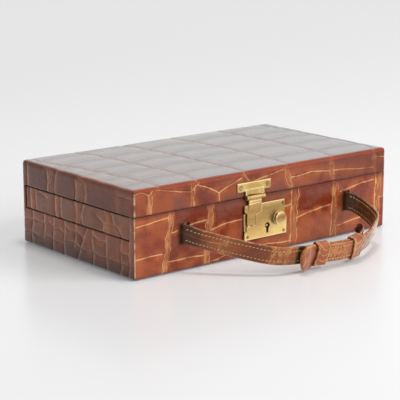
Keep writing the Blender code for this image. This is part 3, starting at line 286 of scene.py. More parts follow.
def hideLook(name, deep, mid, haze, light, line=0.4, wear=0.3, gloss=1.0, isStrap=False,
             shades=(), reflectionFalloffFrom=None):
    # the glaze shows mostly at a flat angle, where it hides the colour below
    found, tree, shader = newMaterial(
        name, Coat_Roughness=hideGlaze["coatRough"], IOR=hideGlaze["innerIor"],
        Coat_IOR=hideGlaze["strapIor" if isStrap else "caseIor"])
    rim = hideTones["strapRim" if isStrap else "rim"]
    out = addNode(tree, "ShaderNodeGroup",
                  {"Deep": opaque(deep), "Mid": opaque(mid), "Haze": opaque(haze), "Light": opaque(light),
                   "Rim": opaque(rim), "Line": line, "Wear": wear}, node_tree=hideGrain).outputs
    colour = out["Color"]
    if isStrap:
        root, lining, band = (readField(tree, field) for field in ("root", "lining", "band"))
        rubbed = times(tree, fade(tree, band, 0.30, 0.70),
                       fade(tree, grain(tree, hideScales["rubbed"], 4.0, 0.65), 0.44, 0.60, (0.0, 0.70)))
        colour = mixColours(tree, rubbed, colour, hideTones["rubbed"])
        colour = mixColours(tree, times(tree, lining, 0.62), colour, hideTones["lining"])
        # painted shade where the straps leave the wall, and the tongue's painted shadow on the left strap
        colour = mixColours(tree, maths(tree, "MULTIPLY", root, 0.80, clamp=True), colour, hideTones["root"])
    # painted shade in bands along the given axes, and a painted shadow on the left side towards its foot
    place = objectAxes(tree)
    for axis, start, end, most in shades:
        colour = mixColours(tree, fade(tree, place[axis], start * mm, end * mm, (0.0, most)), colour,
                            hideTones["shade"])
    # painted shadow: the left side darkens towards its foot
    if shades:
        foot = fade(tree, place["Z"], *hideGlaze["footHigh"], (0.0, 0.75))
        colour = mixColours(tree, times(tree, foot, readField(tree, "age")), colour, hideTones["foot"])
    bounced = times(tree, rayKind(tree, "Is Diffuse Ray"), 0.75)
    colour = mixColours(tree, bounced, colour, hideTones["bounced"])
    facing = addNode(tree, "ShaderNodeLayerWeight", {"Blend": 0.5}).outputs["Facing"]
    cover = fade(tree, facing, 0.62, 0.86, (0.0, 0.3 if isStrap else 1.0))
    clear = fade(tree, readField(tree, "groove"), 0.9, 0.3, (0.0, 0.45))
    if reflectionFalloffFrom is not None:
        # painted reflection falloff: at the top's front edge the grey reflection is taken away and a warm red
        # painted in, and the grey sets in softly behind it
        drift = grain(tree, hideScales["edgeDrift"])
        sway = maths(tree, "MULTIPLY_ADD", drift, hideGlaze["edgeSway"], place["Y"])
        behind, before = (reflectionFalloffFrom + deep for deep in hideGlaze["edgeDeep"])
        reflectionFalloff = times(tree, fade(tree, sway, behind, before), fade(tree, place["Z"], *hideGlaze["edgeHigh"]))
        colour = mixColours(tree, times(tree, reflectionFalloff, 0.55), colour, hideTones["reflectionFalloffRed"])
        clear = maths(tree, "MAXIMUM", clear, times(tree, reflectionFalloff, 0.62))
    glazed = maths(tree, "SUBTRACT", 1.0, clear)
    cover = times(tree, cover, glazed)
    # on a flat view each scale darkens softly behind the edge of the next
    side = readField(tree, "side")
    dusk = times(tree, times(tree, fade(tree, side, -1.2, 0.8), fade(tree, side, 15.0, 1.5)), cover)
    shine = times(tree, fade(tree, facing, 0.40, 0.76, (0.05 * gloss, gloss)), glazed)
    fillSockets(tree, shader, {
        "Base Color": mixColours(tree, times(tree, cover, 0.92), colour, hideTones["flatView"]),
        "Coat Weight": times(tree, shine, maths(tree, "SUBTRACT", 1.0, times(tree, dusk, 0.50))),
        "Roughness": out["Rough"], "Normal": bumped(tree, out["Height"], 0.6)})
    return found


# Metal, thread, cloth and wood

def threadLook():
    found, tree, shader = newMaterial("waxedThread", Roughness=0.55)
    strand = fade(tree, grain(tree, 2600.0, 2.0), 0.35, 0.65)
    colour = mixColours(tree, strand, (0.50, 0.31, 0.12), (0.88, 0.64, 0.32))
    fillSockets(tree, shader, {"Base Color": colour})
    return found


def metalLook(name, colour, dark, rough=0.2, paintedReflection=None):
    # light that comes back from the floor meets a dull metal, so that no bright patch lies before the lock
    found, tree, shader = newMaterial(name, Metallic=1.0)
    broad = grain(tree, 70.0, 2.0)
    scuff = grain(tree, 1800.0, 2.0, 0.5, (0.15, 1.0, 1.0))
    tone = mixColours(tree, fade(tree, broad, 0.62, 0.40), colour, dark)
    if paintedReflection:
        # painted reflection: darker towards the top, standing in for the darker surroundings that the upper
        # brass mirrors
        high = maths(tree, "MULTIPLY_ADD", broad, 8 * mm, objectAxes(tree)["Z"])
        tone = mixColours(tree, fade(tree, high, paintedReflection[0], paintedReflection[1], (0.0, 0.85)), tone, paintedReflection[2])
    spread = maths(tree, "MAXIMUM", rayKind(tree, "Is Diffuse Ray"), rayKind(tree, "Is Glossy Ray"))
    mist = maths(tree, "MULTIPLY_ADD", scuff, 0.10, rough)
    fillSockets(tree, shader, {
        "Base Color": mixColours(tree, times(tree, spread, 0.7), tone, (0.12, 0.10, 0.08)),
        "Roughness": maths(tree, "MAXIMUM", mist, times(tree, spread, 0.9))})
    return found


def clothLook(name, colour, pale, scale=1400.0, sheen=0.6):
    found, tree, shader = newMaterial(name, Roughness=0.9, Sheen_Weight=sheen, Sheen_Roughness=0.4)
    hair = grain(tree, scale, 2.0, 0.7)
    mix = maths(tree, "MULTIPLY_ADD", hair, 0.6, times(tree, grain(tree, 60.0), 0.5))
    fillSockets(tree, shader, {"Base Color": mixColours(tree, fade(tree, mix, 0.35, 0.75), colour, pale),
                               "Normal": bumped(tree, hair, 0.35)})
    return found


def woodLook(name):
    found, tree, shader = newMaterial(name, Roughness=0.55)
    rings = fade(tree, grain(tree, 90.0, 4.0, 0.6, (0.15, 1.0, 1.0)), 0.35, 0.7)
    fillSockets(tree, shader, {"Base Color": mixColours(tree, rings, (0.30, 0.17, 0.08), (0.52, 0.34, 0.18))})
    return found


# Mesh helpers

finish = {"flatTurn": 1.5, "sharpTurn": 32.0, "shortest": 2.2, "leastFace": 12.0, "sameSide": 0.72}


def finishMesh(name, shape):
    mesh = bpy.data.meshes.new(name)
    shape.to_mesh(mesh)
    shape.free()
    found = bpy.data.objects.new(name, mesh)
    bpy.context.scene.collection.objects.link(found)
    mesh.shade_smooth()
    return found


def giveLook(found, look):
    found.data.materials.clear()
    found.data.materials.append(look)


def dress(found, look, body, replaced=()):
    giveLook(found, look)
    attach(found, body)
    for node in replaced:
        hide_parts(node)
    return found


def placesOf(mesh):
    flat = np.empty(len(mesh.vertices) * 3, np.float32)
    mesh.vertices.foreach_get("co", flat)
    return flat.reshape(-1, 3).astype(float)


def moveTo(mesh, places):
    mesh.vertices.foreach_set("co", places.astype(np.float32).ravel())
    mesh.update()


def addBox(shape, low, high):
    low, high = np.array(low, float), np.array(high, float)
    bmesh.ops.create_cube(shape, size=1.0, matrix=Matrix.Translation((low + high) / 2)
                          @ Matrix.Diagonal((*(high - low), 1)))


def rollUp(name, places, fields=None, ring=False, join=1e-7):
    # a grid rolled up to a tube: rows of places run along it, columns round it
    rows, around = places.shape[:2]
    steps = rows if ring else rows - 1
    shape = bmesh.new()
    bmesh.ops.create_grid(shape, x_segments=steps, y_segments=around, size=0.5)
    order = np.array([(round((v.co.x + 0.5) * steps), round((v.co.y + 0.5) * around)) for v in shape.verts])
    i, j = order[:, 0] % rows, order[:, 1] % around
    for v, place in zip(shape.verts, places[i, j]):
        v.co = place
    for label, values in (fields or {}).items():
        layer = shape.verts.layers.float.new(label)
        for v, value in zip(shape.verts, np.broadcast_to(values, (rows, around))[i, j].astype(float)):
            v[layer] = value
    bmesh.ops.remove_doubles(shape, verts=shape.verts, dist=join)
    if not ring:
        bmesh.ops.holes_fill(shape, edges=[e for e in shape.edges if e.is_boundary], sides=0)
    bmesh.ops.recalc_face_normals(shape, faces=shape.faces)
    return finishMesh(name, shape)


def polish(node, look, body, width, edgeLook=None):
    # a finished copy of a machined piece: bevelled edges, and shading that keeps flat faces flat
    shape = bmesh.new()
    shape.from_mesh(nodes[node].data)
    shape.transform(nodes[node].matrix_world)
    bmesh.ops.remove_doubles(shape, verts=shape.verts, dist=1e-6)
    bmesh.ops.dissolve_limit(shape, angle_limit=math.radians(finish["flatTurn"]), verts=shape.verts,
                             edges=shape.edges)
    leastArea = finish["leastFace"] * mm * mm
    sharp = [e for e in shape.edges
             if len(e.link_faces) == 2 and e.calc_face_angle(0.0) > math.radians(finish["sharpTurn"])
             and e.calc_length() > finish["shortest"] * width
             and max(f.calc_area() for f in e.link_faces) > leastArea]
    bmesh.ops.bevel(shape, geom=sharp, offset=width, offset_type="OFFSET", segments=2, profile=0.6,
                    affect="EDGES", clamp_overlap=False, material=1 if edgeLook else 0)
    bmesh.ops.triangulate(shape, faces=[f for f in shape.faces if len(f.verts) > 4], ngon_method="EAR_CLIP")
    found = finishMesh(node + "Finish", shape)
    mesh = found.data
    meeting = [[] for _ in mesh.vertices]
    for face in mesh.polygons:
        for k in face.vertices:
            meeting[k].append(face)
    normals = []
    for face in mesh.polygons:
        for k in face.vertices:
            total = Vector((0, 0, 0))
            for other in meeting[k]:
                if face.normal.dot(other.normal) > finish["sameSide"]:
                    total += other.normal * other.area ** 1.5
            normals.append(total.normalized() if total.length > 0 else face.normal)
    mesh.normals_split_custom_set(normals)
    marks = [face.material_index for face in mesh.polygons]
    dress(found, look, body, [node])
    if edgeLook:
        mesh.materials.append(edgeLook)
        mesh.polygons.foreach_set("material_index", marks)


def gridFace(shape, corner, across, up, countAcross, countUp):
    corner, across, up = Vector(corner), Vector(across), Vector(up)
    turn = Matrix((across, up, across.cross(up).normalized())).transposed().to_4x4()
    bmesh.ops.create_grid(shape, x_segments=countAcross, y_segments=countUp, size=0.5,
                          matrix=Matrix.Translation(corner + (across + up) / 2) @ turn)


# Grooves, in millimetres along and up each face. A band is a wide wrinkled join between scale columns.

topFace = {
    "size": (280, 160), "crown": 0.30, "bands": [], "firm": 6,
    "grooves": [
        [(8, 160), (9.5, 130), (17, 100), (23, 60), (27, 20), (25, 0)],
        [(50, 160), (60, 130), (62.5, 100), (65.7, 60), (68, 20), (63.4, 0)],
        [(103, 160), (109, 130), (112.5, 100), (114, 60), (116, 20), (114, 0)],
        [(157, 160), (163, 130), (166, 100), (168, 60), (166, 20), (161.6, 0)],
        [(214, 160), (218, 130), (220, 100), (221, 60), (219, 20), (214, 0)],
        [(268, 160), (271, 130), (272, 100), (273, 60), (273, 20), (266, 0)],
        [(0, 108), (15, 106)], [(0, 75), (20, 77)], [(0, 47.5), (24, 50)], [(0, 21.6), (26, 24)],
        [(10, 146), (32, 150), (54, 147)], [(12, 118), (36, 122), (61, 119)],
        [(19, 88), (38, 91), (63, 88)],
        [(23, 59), (44, 62), (66, 58)], [(26, 31), (46, 34), (68, 31)],
        [(55, 152), (80, 155), (104, 150)], [(61, 124), (86, 127), (109, 122)],
        [(64, 93), (88, 96), (112, 90)],
        [(66, 64), (90, 66), (114, 60)], [(68, 34), (92, 36), (116, 32)],
        [(106, 157), (132, 160)], [(109, 131), (136, 135), (162, 129)], [(112, 102), (138, 105), (165, 99)],
        [(114, 73), (140, 75), (168, 69)], [(116, 39), (142, 41), (167, 36)],
        [(161, 134), (190, 138), (217, 133)], [(166, 103), (192, 106), (219, 100)],
        [(168, 71), (194, 74), (221, 68)], [(167, 32), (192, 35), (219, 30)],
        [(216, 146), (244, 150), (270, 145)], [(219, 119), (246, 122), (271, 116)],
        [(220, 94), (246, 97), (272, 92)], [(221, 65), (247, 67), (273, 62)],
        [(219, 31), (246, 34), (273, 29)],
        [(271, 134), (280, 135)], [(272, 100), (280, 101)], [(273, 66), (280, 67)], [(273, 30), (280, 31)]]}

lidFrontFace = {
    "size": (280, 21), "crown": 0.22,
    "bands": [([(15, 0), (15.5, 15)], 5.0), ([(59, 0), (58.5, 21)], 4.5),
              ([(159, 21), (162, 10), (166, 0)], 6.5),
              ([(211, 21), (213, 9), (216, 0)], 6.0), ([(264, 21), (266, 0)], 4.5),
              ([(111, 21), (118, 13)], 3.0)],
    "grooves": [
        [(0, 17), (3, 19), (7, 19.5), (11, 17.5), (15, 15.5), (19, 21)], [(14, 16), (15, 8), (15.5, 0)],
        [(22, 20), (34, 17), (46, 14), (57, 12.6)], [(57, 12.6), (60, 15), (64, 19), (67, 21)],
        [(57, 12.6), (59.5, 6), (60, 0)], [(63, 18), (71, 15), (79, 11), (86, 7.2)],
        [(86, 7.2), (94, 11), (103, 14), (111, 17)], [(86, 7.2), (87, 0)],
        [(113, 21), (116, 16), (119, 13)],
        [(125, 12.5), (135, 14.5), (146, 16), (157, 18)],
        [(166, 9.3), (177, 10), (189, 11), (200, 10), (211, 9.3)],
        [(215, 9), (232, 7.5), (249, 6), (266, 4.4)], [(268, 14), (280, 13)]]}

baseFrontFace = {
    "size": (280, 51), "crown": 0.25,
    "patches": [(56, 43, 17, 8), (95, 43, 15, 10), (192, 40, 19, 9)],
    "bands": [([(36.6, 51), (33, 25), (28.6, 0)], 6.0), ([(77.5, 51), (75, 25), (73, 0)], 8.0),
              ([(170.5, 51), (169, 25), (168, 0)], 9.5), ([(218.5, 51), (217, 25), (215.5, 0)], 7.5),
              ([(273, 51), (271, 25), (269, 0)], 7.0)],
    "grooves": [
        [(0, 43.8), (16, 44.8), (33, 46.8)], [(0, 16.5), (14, 17), (27, 16.8)],
        [(34, 9.8), (52, 9.6), (70, 8.8)],
        [(36, 51), (34, 34), (31, 16), (28, 0)], [(37.5, 33.8), (55, 37), (73, 39.1)],
        [(76, 51), (74.5, 34), (73, 16), (71, 0)], [(79.5, 29.8), (90, 32), (111, 33.4)],
        [(111, 33.4), (128, 33), (146, 36), (166, 38)], [(75, 2.7), (84, 3.2), (95, 5.2), (112, 5.6)],
        [(112, 5.6), (118, 0)], [(112, 5.6), (140, 7), (167, 5)],
        [(166, 51), (166, 30), (166, 12), (165, 0)],
        [(172, 24.1), (186, 27.6), (200, 29.2), (212.5, 30.2)], [(216, 51), (215, 34), (214, 15), (213, 0)],
        [(224, 40.9), (238, 42.6), (252, 44.9), (266, 45.9)],
        [(221, 9.8), (236, 11.6), (253.6, 12.9), (266, 12)],
        [(269, 51), (268, 30), (267, 0)], [(274, 28), (280, 28.5)]]}

lidLeftFace = {
    "size": (160, 21), "crown": 0.2, "age": 1.0,
    "bands": [([(22, 21), (22, 0)], 4.0), ([(66, 21), (73, 10), (72, 0)], 12.0),
              ([(117, 21), (115, 0)], 11.0)],
    "grooves": [
        [(0, 14), (10, 13.5), (20, 14)], [(22, 21), (21, 9), (22, 0)], [(62, 21), (68, 17), (80, 20)],
        [(68, 17), (66, 8), (67, 0)], [(80, 16), (79, 7), (80, 0)], [(108, 21), (111, 9), (110, 0)],
        [(111, 14), (118, 18), (130, 20), (141, 21)], [(122, 18), (121, 8), (122, 0)],
        [(152, 21), (151, 0)]]}

drawerFace = {
    "size": (142, 19), "crown": 0.2,
    "bands": [([(30, 19), (27, 10), (30, 0)], 9.0), ([(67, 19), (69, 0)], 8.0), ([(96, 19), (97, 0)], 7.0),
              ([(133, 19), (132, 0)], 8.0)],
    "grooves": [
        [(10, 0), (14, 6), (20, 9), (34, 7), (44, 12)], [(20, 9), (24, 19)], [(34, 7), (36, 0)],
        [(60, 19), (64, 10), (63, 0)], [(72, 19), (70, 8), (72, 0)], [(92, 19), (93, 8), (92, 0)],
        [(100, 19), (101, 9), (100, 0)], [(113, 14), (122, 17), (130, 15)], [(129, 19), (128, 0)],
        [(136, 19), (136, 0)]]}

baseLeftFace = {
    "size": (160, 51), "crown": 0.2, "age": 0.75, "bands": [([(5, 51), (5, 30)], 6.0)],
    "grooves": [
        [(7, 31), (8, 20), (7, 10), (9, 0)], [(18, 30), (19, 19), (18, 9), (20, 0)],
        [(39, 31), (38, 22), (39, 12), (37, 0)],
        [(57, 31), (58, 20), (56, 11), (57, 0)], [(64, 31), (70, 21), (75, 11), (80, 0)],
        [(82, 31), (81, 22), (84, 12)],
        [(97, 31), (97, 21), (99, 12), (98, 0)], [(114, 31), (113, 22), (115, 11), (115, 0)],
        [(128, 31), (127, 20), (130, 10)], [(146, 31), (145, 22), (148, 11), (147, 0)],
        [(0, 13), (8, 11), (18, 12)], [(8, 21), (18, 20)], [(18, 12), (28, 11), (38, 12)],
        [(39, 25), (48, 24), (57, 27)],
        [(38, 12), (47, 11), (56, 13)], [(57, 13), (66, 11), (75, 12)], [(70, 21), (76, 24), (82, 25)],
        [(75, 12), (86, 16), (97, 14)], [(82, 25), (90, 24), (97, 27)], [(98, 11), (106, 10), (114, 11)],
        [(97, 20), (105, 22), (113, 21)], [(114, 24), (121, 25), (127, 23)],
        [(115, 12), (122, 13), (129, 12)],
        [(129, 11), (138, 9), (148, 12)], [(128, 24), (137, 22), (146, 24)], [(148, 12), (160, 11)],
        [(146, 23), (160, 22)]]}

grown = {
    "pitch": 48.0, "uneven": (0.85, 1.15), "start": (8, 25), "sway": 3, "beside": 2.5, "bandWide": (5, 9),
    "firstRise": (0.2, 0.45), "rise": (22, 30), "crown": 0.22}
press = {
    "drift": 0.7, "swell": 2.4, "grooveWide": 0.8, "grooveDeep": 0.28, "softDeep": 0.12,
    "foldRise": 0.30, "foldWide": 6.0, "foldFrom": 2.5, "wrinkles": (-0.33, 0.02, 0.36), "bandRise": 0.16,
    "patchShade": 1.1, "proud": 0.12 * mm}


def grownFace(width, height, seed):
    # columns of scales for a face that the photograph doesn't show
    draw = random.Random(seed)
    edge, sway, beside = -draw.uniform(*grown["start"]), grown["sway"], grown["beside"]
    columns = []
    while edge < width:
        edge += grown["pitch"] * draw.uniform(*grown["uneven"])
        columns.append([(edge + draw.uniform(-sway, sway), height * k / 3) for k in range(4)])
    grooves = [[(x - beside, z) for x, z in column] for column in columns]
    bands = [(column, draw.uniform(*grown["bandWide"])) for column in columns]
    starts = [[(0, z) for x, z in columns[0]]] + columns
    for left, right in zip(starts, columns):
        rise = draw.uniform(*grown["firstRise"]) * height
        while rise < height * 0.95:
            a, b = left[0][0] + beside, right[0][0] - beside
            grooves.append([(a, rise), ((a + b) / 2, rise + draw.uniform(0, 3)),
                            (b, rise + draw.uniform(-2, 2))])
            rise += draw.uniform(*grown["rise"])
    return {"size": (width, height), "crown": grown["crown"], "grooves": grooves, "bands": bands}


def wander(u, v, seed):
    # slow drift that keeps the grooves from looking drawn with a ruler
    a = 0.5 * np.sin(u * 0.10 + seed) + 0.35 * np.sin(v * 0.21 + 2 * seed) + 0.06 * np.sin(u * 0.9 + v * 0.7)
    b = 0.5 * np.sin(v * 0.13 + 3 * seed) + 0.35 * np.sin(u * 0.17 + seed) + 0.06 * np.sin(v * 1.1 - u * 0.6)
    return u + press["drift"] * a, v + press["drift"] * b


def nearestLine(lines, u, v):
    # distance to the nearest bent line, and the same with a sign that tells its two sides apart
    best, side = np.full(u.shape, 1e3), np.full(u.shape, 1e3)
    for line in lines:
        for (a, b), (c, d) in zip(line, line[1:]):
            du, dv = c - a, d - b
            t = np.clip(((u - a) * du + (v - b) * dv) / (du * du + dv * dv + 1e-9), 0, 1)
            away = np.hypot(u - a - t * du, v - b - t * dv)
            sign = np.where((u - a) * dv - (v - b) * du < 0, -1.0, 1.0)
            side = np.where(away < best, sign * away, side)
            best = np.minimum(best, away)
    return best, side


def scaleTints(face, seed):
    # one random value for each scale: cells of a raster joined wherever no groove parts them
    width, height = (int(c) + 1 for c in face["size"])
    u, v = np.meshgrid(np.arange(width) + 0.5, np.arange(height) + 0.5, indexing="ij")
    wall = nearestLine(face["grooves"], *wander(u, v, seed))[0] < press["grooveWide"]
    label = np.arange(width * height).reshape(width, height)
    for _ in range(400):
        before = label.copy()
        for axis, step in ((0, 1), (0, -1), (1, 1), (1, -1)):
            moved = np.roll(label, step, axis)
            joined = ~wall & ~np.roll(wall, step, axis)
            brim = 0 if step > 0 else -1
            joined[(brim, slice(None)) if axis == 0 else (slice(None), brim)] = False
            label = np.where(joined, np.minimum(label, moved), label)
        if (label == before).all():
            break
    return np.random.default_rng(seed).random(width * height)[label]


def hideFields(face, u, v, seed):
    firm = face.get("firm", len(face["grooves"]))
    soft = firm < len(face["grooves"])
    uu, vv = wander(u, v, seed)
    groove, side = nearestLine(face["grooves"][:firm], uu, vv)
    notch = press["softDeep" if soft else "grooveDeep"] * np.exp(-(groove / press["grooveWide"]) ** 2)
    lift = face["crown"] * (1 - np.exp(-groove / press["swell"])) - notch
    if soft:
        # the other lines are only soft folds, without a pale line of their own
        fold, foldSide = nearestLine(face["grooves"][firm:], uu, vv)
        lift = lift + press["foldRise"] * (1 - np.exp(-(fold / press["foldWide"]) ** 2))
        side = np.where(groove > press["foldFrom"], foldSide, side)
    band = np.zeros(u.shape)
    draw = random.Random(seed)
    for line, width in face["bands"]:
        band = np.maximum(band, np.clip(1.25 - nearestLine([line], uu, vv)[0] / (width / 2), 0, 1))
        for share in press["wrinkles"]:
            # fine wrinkles run along the band, thinner than the grooves
            a, b = draw.uniform(0, 6), draw.uniform(0, 6)
            drift = 0.09 * width * (np.sin(vv * 0.33 + a) + 0.5 * np.sin(vv * 0.85 + b))
            away, signed = nearestLine([[(x + share * width, z) for x, z in line]], uu + drift, vv)
            thin = draw.uniform(1.4, 2.2)
            side = np.where(away * thin < groove, signed * thin, side)
            groove = np.minimum(groove, away * thin)
    tints = scaleTints(face, seed)
    tint = tints[tuple(np.clip(c.astype(int), 0, size - 1) for c, size in zip((u, v), tints.shape))]
    for x, z, halfWidth, halfHeight in face.get("patches", ()):
        reach = np.maximum(np.abs(u - x) / halfWidth, np.abs(v - z) / halfHeight)
        tint = tint - press["patchShade"] * np.clip((1.25 - reach) / 0.5, 0, 1)
    wrinkle = 0.10 * np.sin(uu * 4.2 + 1.5 * np.sin(vv * 0.5)) + 0.06 * np.sin(uu * 7.1 + vv)
    lift = lift * (1 - 0.6 * band) + band * (press["bandRise"] + wrinkle)
    return groove, side, band, tint, np.full(u.shape, face.get("age", 0.0)), lift


# Handle: straps swept along one curve in the handle's own plane, then bent down where they leave the wall.
# Lengths without mm are millimetres along or across the strap.

handle = {
    "left": -93.45 * mm, "span": 182.9 * mm, "reach": 65.1 * mm, "droop": 16.5,
    "pivot": (0.0, -84.0 * mm, 31.5 * mm), "inside": 13.6 * mm, "bend": (1.0 * mm, -9.0 * mm),
    "step": 0.6 * mm, "lap": 2.9, "lapFrom": (0.93, 0.80),
    "plan": ((0, 0), (.042, .150), (.110, .383), (.179, .594), (.242, .767), (.311, .879), (.413, .939),
             (.531, .973), (.635, 1), (.716, .971), (.812, .879), (.901, .774), (.987, .593), (1.020, .317),
             (1.022, .118), (1, 0))}
strap = {
    "half": 8.25, "thick": 2.6, "rim": 1.2, "across": 29, "corner": 6,
    "channel": (0.34, 0.5), "pad": (0.30, 4.6), "wave": 0.10, "creaseWide": 0.5, "rubWide": 3.5,
    "fold": (0.30, 0.75), "foldHalf": 6, "foldReach": 55.0, "rootReach": 26.0, "shadow": 3.6, "wornFrom": 6.9,
    "leftEnd": 0.768, "curl": 3.2, "curlTurn": 205.0, "tip": (17, 8, 0.42), "tipRise": 9.5, "tipRound": 5,
    "tongueEnd": 0.372, "leafHalf": 13.6, "leafRound": 9.0, "leafReach": 12, "flare": 5.0,
    "blunt": (0.48, 1.45 * mm),
    # place along the strap, depth and slant of each crease; the last three on the left are only rubbed
    "leftCreases": ((45.0, 0.22, 2.0), (47.5, 0.28, -1.5), (104, 0.16, 1.5), (107.5, 0.22, -1.0),
                    (110, 0.2, 1.0), (118, 0.15, 1.0), (141, 0.2, 1.0), (160, 0.25, 0.0), (86, 0.0, 1.5),
                    (91, 0.0, -1.0), (98, 0.0, 1.0)),
    "rightCreases": ((3.5, 0.12, 3.0), (9, 0.10, 3.0), (33, 0.35, 1.0), (38, 0.30, -2.0), (43.5, 0.4, 1.0),
                     (49, 0.3, -1.0), (72, 0.3, 1.0), (91, 0.30, 1.5), (96, 0.25, -1.0), (118, 0.30, 1.0)),
    "rightEndCreases": ((24, 0.3, 1.0), (19, 0.4, -1.0), (16.5, 0.35, 1.0))}
stitch = {
    "rows": (4.6, 5.2), "pitch": 3.0, "size": (1.12 * mm, 0.46 * mm, 0.36 * mm), "lean": 16,
    "uneven": (5, 0.12), "sunk": 0.12, "sunkBack": 0.34, "leftEnds": (16.0, 24), "rightEnds": (14, 16)}
keeper = {
    "places": (0.497, 0.703), "width": 12.5, "thick": 1.1, "half": (3.35, 8.7), "square": (0.30, 0.165),
    "rim": 0.5, "across": 19, "corner": 5, "round": 120, "lip": 2.2, "ridge": (0.22, 1.2, 0.7), "bow": 0.12,
    "wobble": (0.35, 0.2), "crease": 0.16, "linePitch": 5.3, "leans": (0.06, -0.05), "wear": (0.95, 0.3)}


def walkedAlong(line):
    return np.concatenate([[0], np.cumsum(np.linalg.norm(np.diff(line, axis=0), axis=1))])


def evenly(line, count):
    walked = walkedAlong(line)
    even = np.linspace(0, walked[-1], count + 1)
    return np.stack([np.interp(even, walked, line[:, k]) for k in range(line.shape[1])], 1)


def smoothLine(points, step):
    p = np.array(points, float)
    ends = np.vstack([p[:1], p, p[-1:]])
    t = np.linspace(0, 1, 12, endpoint=False)[:, None]
    runs = [0.5 * (2 * b + (c - a) * t + (2 * a - 5 * b + 4 * c - d) * t ** 2
                   + (3 * b - a - 3 * c + d) * t ** 3)
            for a, b, c, d in zip(ends, ends[1:], ends[2:], ends[3:])]
    fine = np.vstack(runs + [p[-1:]])
    return evenly(fine, max(4, round(walkedAlong(fine)[-1] / step)))


def ease(value):
    value = np.clip(value, 0, 1)
    return value * value * (3 - 2 * value)


def headings(line):
    along = np.gradient(line, axis=0)
    along /= np.linalg.norm(along, axis=1, keepdims=True)
    return along, np.stack([along[:, 1], -along[:, 0]], 1)


def bandSection(half, rim, across, corner):
    # round a flat band once: outer face, edge, inner face, edge; w across, n from 1 outside to -1 inside
    flat = np.linspace(rim - half, half - rim, across)
    turn = np.linspace(0, math.pi, corner + 2)[1:-1]
    edge = half - rim + rim * np.sin(turn)
    w = np.concatenate([flat, edge, flat[::-1], -edge])
    return w, np.concatenate([np.ones(across), np.cos(turn), -np.ones(across), -np.cos(turn)])


def bendDown(found, blunt=False):
    # from the handle's plane to its place: level inside the wall, drooping outside it
    p = placesOf(found.data)
    start, end = handle["bend"]
    turn = math.radians(handle["droop"]) * ease((start - p[:, 1]) / (start - end))
    y, z = p[:, 1].copy(), p[:, 2].copy()
    p[:, 1] = y * np.cos(turn) - z * np.sin(turn)
    p[:, 2] = y * np.sin(turn) + z * np.cos(turn)
    p += np.array(handle["pivot"])
    if blunt:
        # the loose tongue's lower edge is blunted where it comes to the floor
        share, least = strap["blunt"]
        p[:, 2] = np.maximum(p[:, 2], share * p[:, 2] + least)
    moveTo(found.data, p)


def fitHandle(found, look, replaced=(), blunt=False):
    bendDown(found, blunt)
    giveLook(found, look)
    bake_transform(found)
    for node in replaced:
        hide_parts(node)


def creaseField(s, w, creases, seed):
    # distance along the strap to the nearest crease, signed, and how deep the creases press in
    shape = np.broadcast(s, w).shape
    side, dent = np.full(shape, 9.0), np.zeros(shape)
    draw = random.Random(seed)
    for place, depth, slant in creases:
        phase = draw.uniform(0, 6)
        away = s - place - slant * w / 8 - 0.5 * np.sin(w * 0.7 + phase) - 0.25 * np.sin(w * 1.9 + 2 * phase)
        side = np.where(np.abs(away) < np.abs(side), away, side)
        dent = dent + depth * np.exp(-(away / strap["creaseWide"]) ** 2)
    return side, dent


def sweepStrap(name, line, creases, seed, row, rootFrom, wide, lower, lean=0.0, dark=-99.0):
    along, out = headings(line)
    s = (walkedAlong(line) / mm)[:, None]
    w, n = bandSection(strap["half"], strap["rim"], strap["across"], strap["corner"])
    w, n = w[None, :], n[None, :]
    side, dent = creaseField(s, w, creases, seed)
    reach = ease(1 - np.abs(s - rootFrom) / strap["foldReach"])
    foldSide = w - 0.6 - 0.5 * np.sin(s * 0.16)
    onFold = (np.abs(foldSide) < np.abs(side)) & (reach > 0.18) & (np.abs(w) < strap["foldHalf"])
    side = np.where(onFold, foldSide, side)
    # the padded middle between two stitched channels, a soft fold from the root, and the creases
    bold = np.abs(w)
    deep, wideness = strap["channel"]
    channel = deep * np.exp(-((bold - row) / wideness) ** 2)
    rise, half = strap["pad"]
    pad = rise * np.clip(1 - (bold / half) ** 2, 0, 1) - 0.05 * np.clip(bold - 5, 0, 3) ** 2
    wave = strap["wave"] * np.sin(s * 0.55 + 0.6 * w) * np.sin(s * 0.21 + w * 0.3)
    deep, wideness = strap["fold"]
    pad = pad - deep * np.exp(-(foldSide / wideness) ** 2) * reach * (bold < 5)
    face = np.abs(n) > 0.99
    lift = face * np.where(n > 0, pad + wave - channel - dent, -(0.5 * pad - channel - 0.3 * dent))
    wide, lower, lean = (np.broadcast_to(c, len(line))[:, None] for c in (wide, lower, lean))
    thick = (n * strap["thick"] / 2 + lift) * np.clip(wide, 0.35, 1) * mm
    leant = lean * w * wide * mm
    flat = line[:, None] + out[:, None] * thick[:, :, None] + along[:, None] * leant[:, :, None]
    places = np.dstack([flat, (w * wide + lower) * mm])
    rubbed = np.zeros(s.shape)
    for place in (crease[0] for crease in creases if crease[0] > strap["leafReach"]):
        rubbed = np.maximum(rubbed, np.exp(-((s - place) / strap["rubWide"]) ** 2))
    # painted shade near the root, and the painted shadow of the tongue around the given place
    root = np.maximum(ease(1 - np.abs(s - rootFrom) / strap["rootReach"]),
                      1.2 * np.exp(-((s - dark) / strap["shadow"]) ** 4))
    worn = 0.9 * np.clip(bold - strap["wornFrom"], 0, 1)
    return rollUp(name, places, {
        "groove": np.abs(side), "side": side, "band": np.maximum(worn, 0.75 * rubbed),
        "tint": 0.5 + 0.4 * np.sin(s * 0.11 + seed), "root": root, "lining": n < 0})


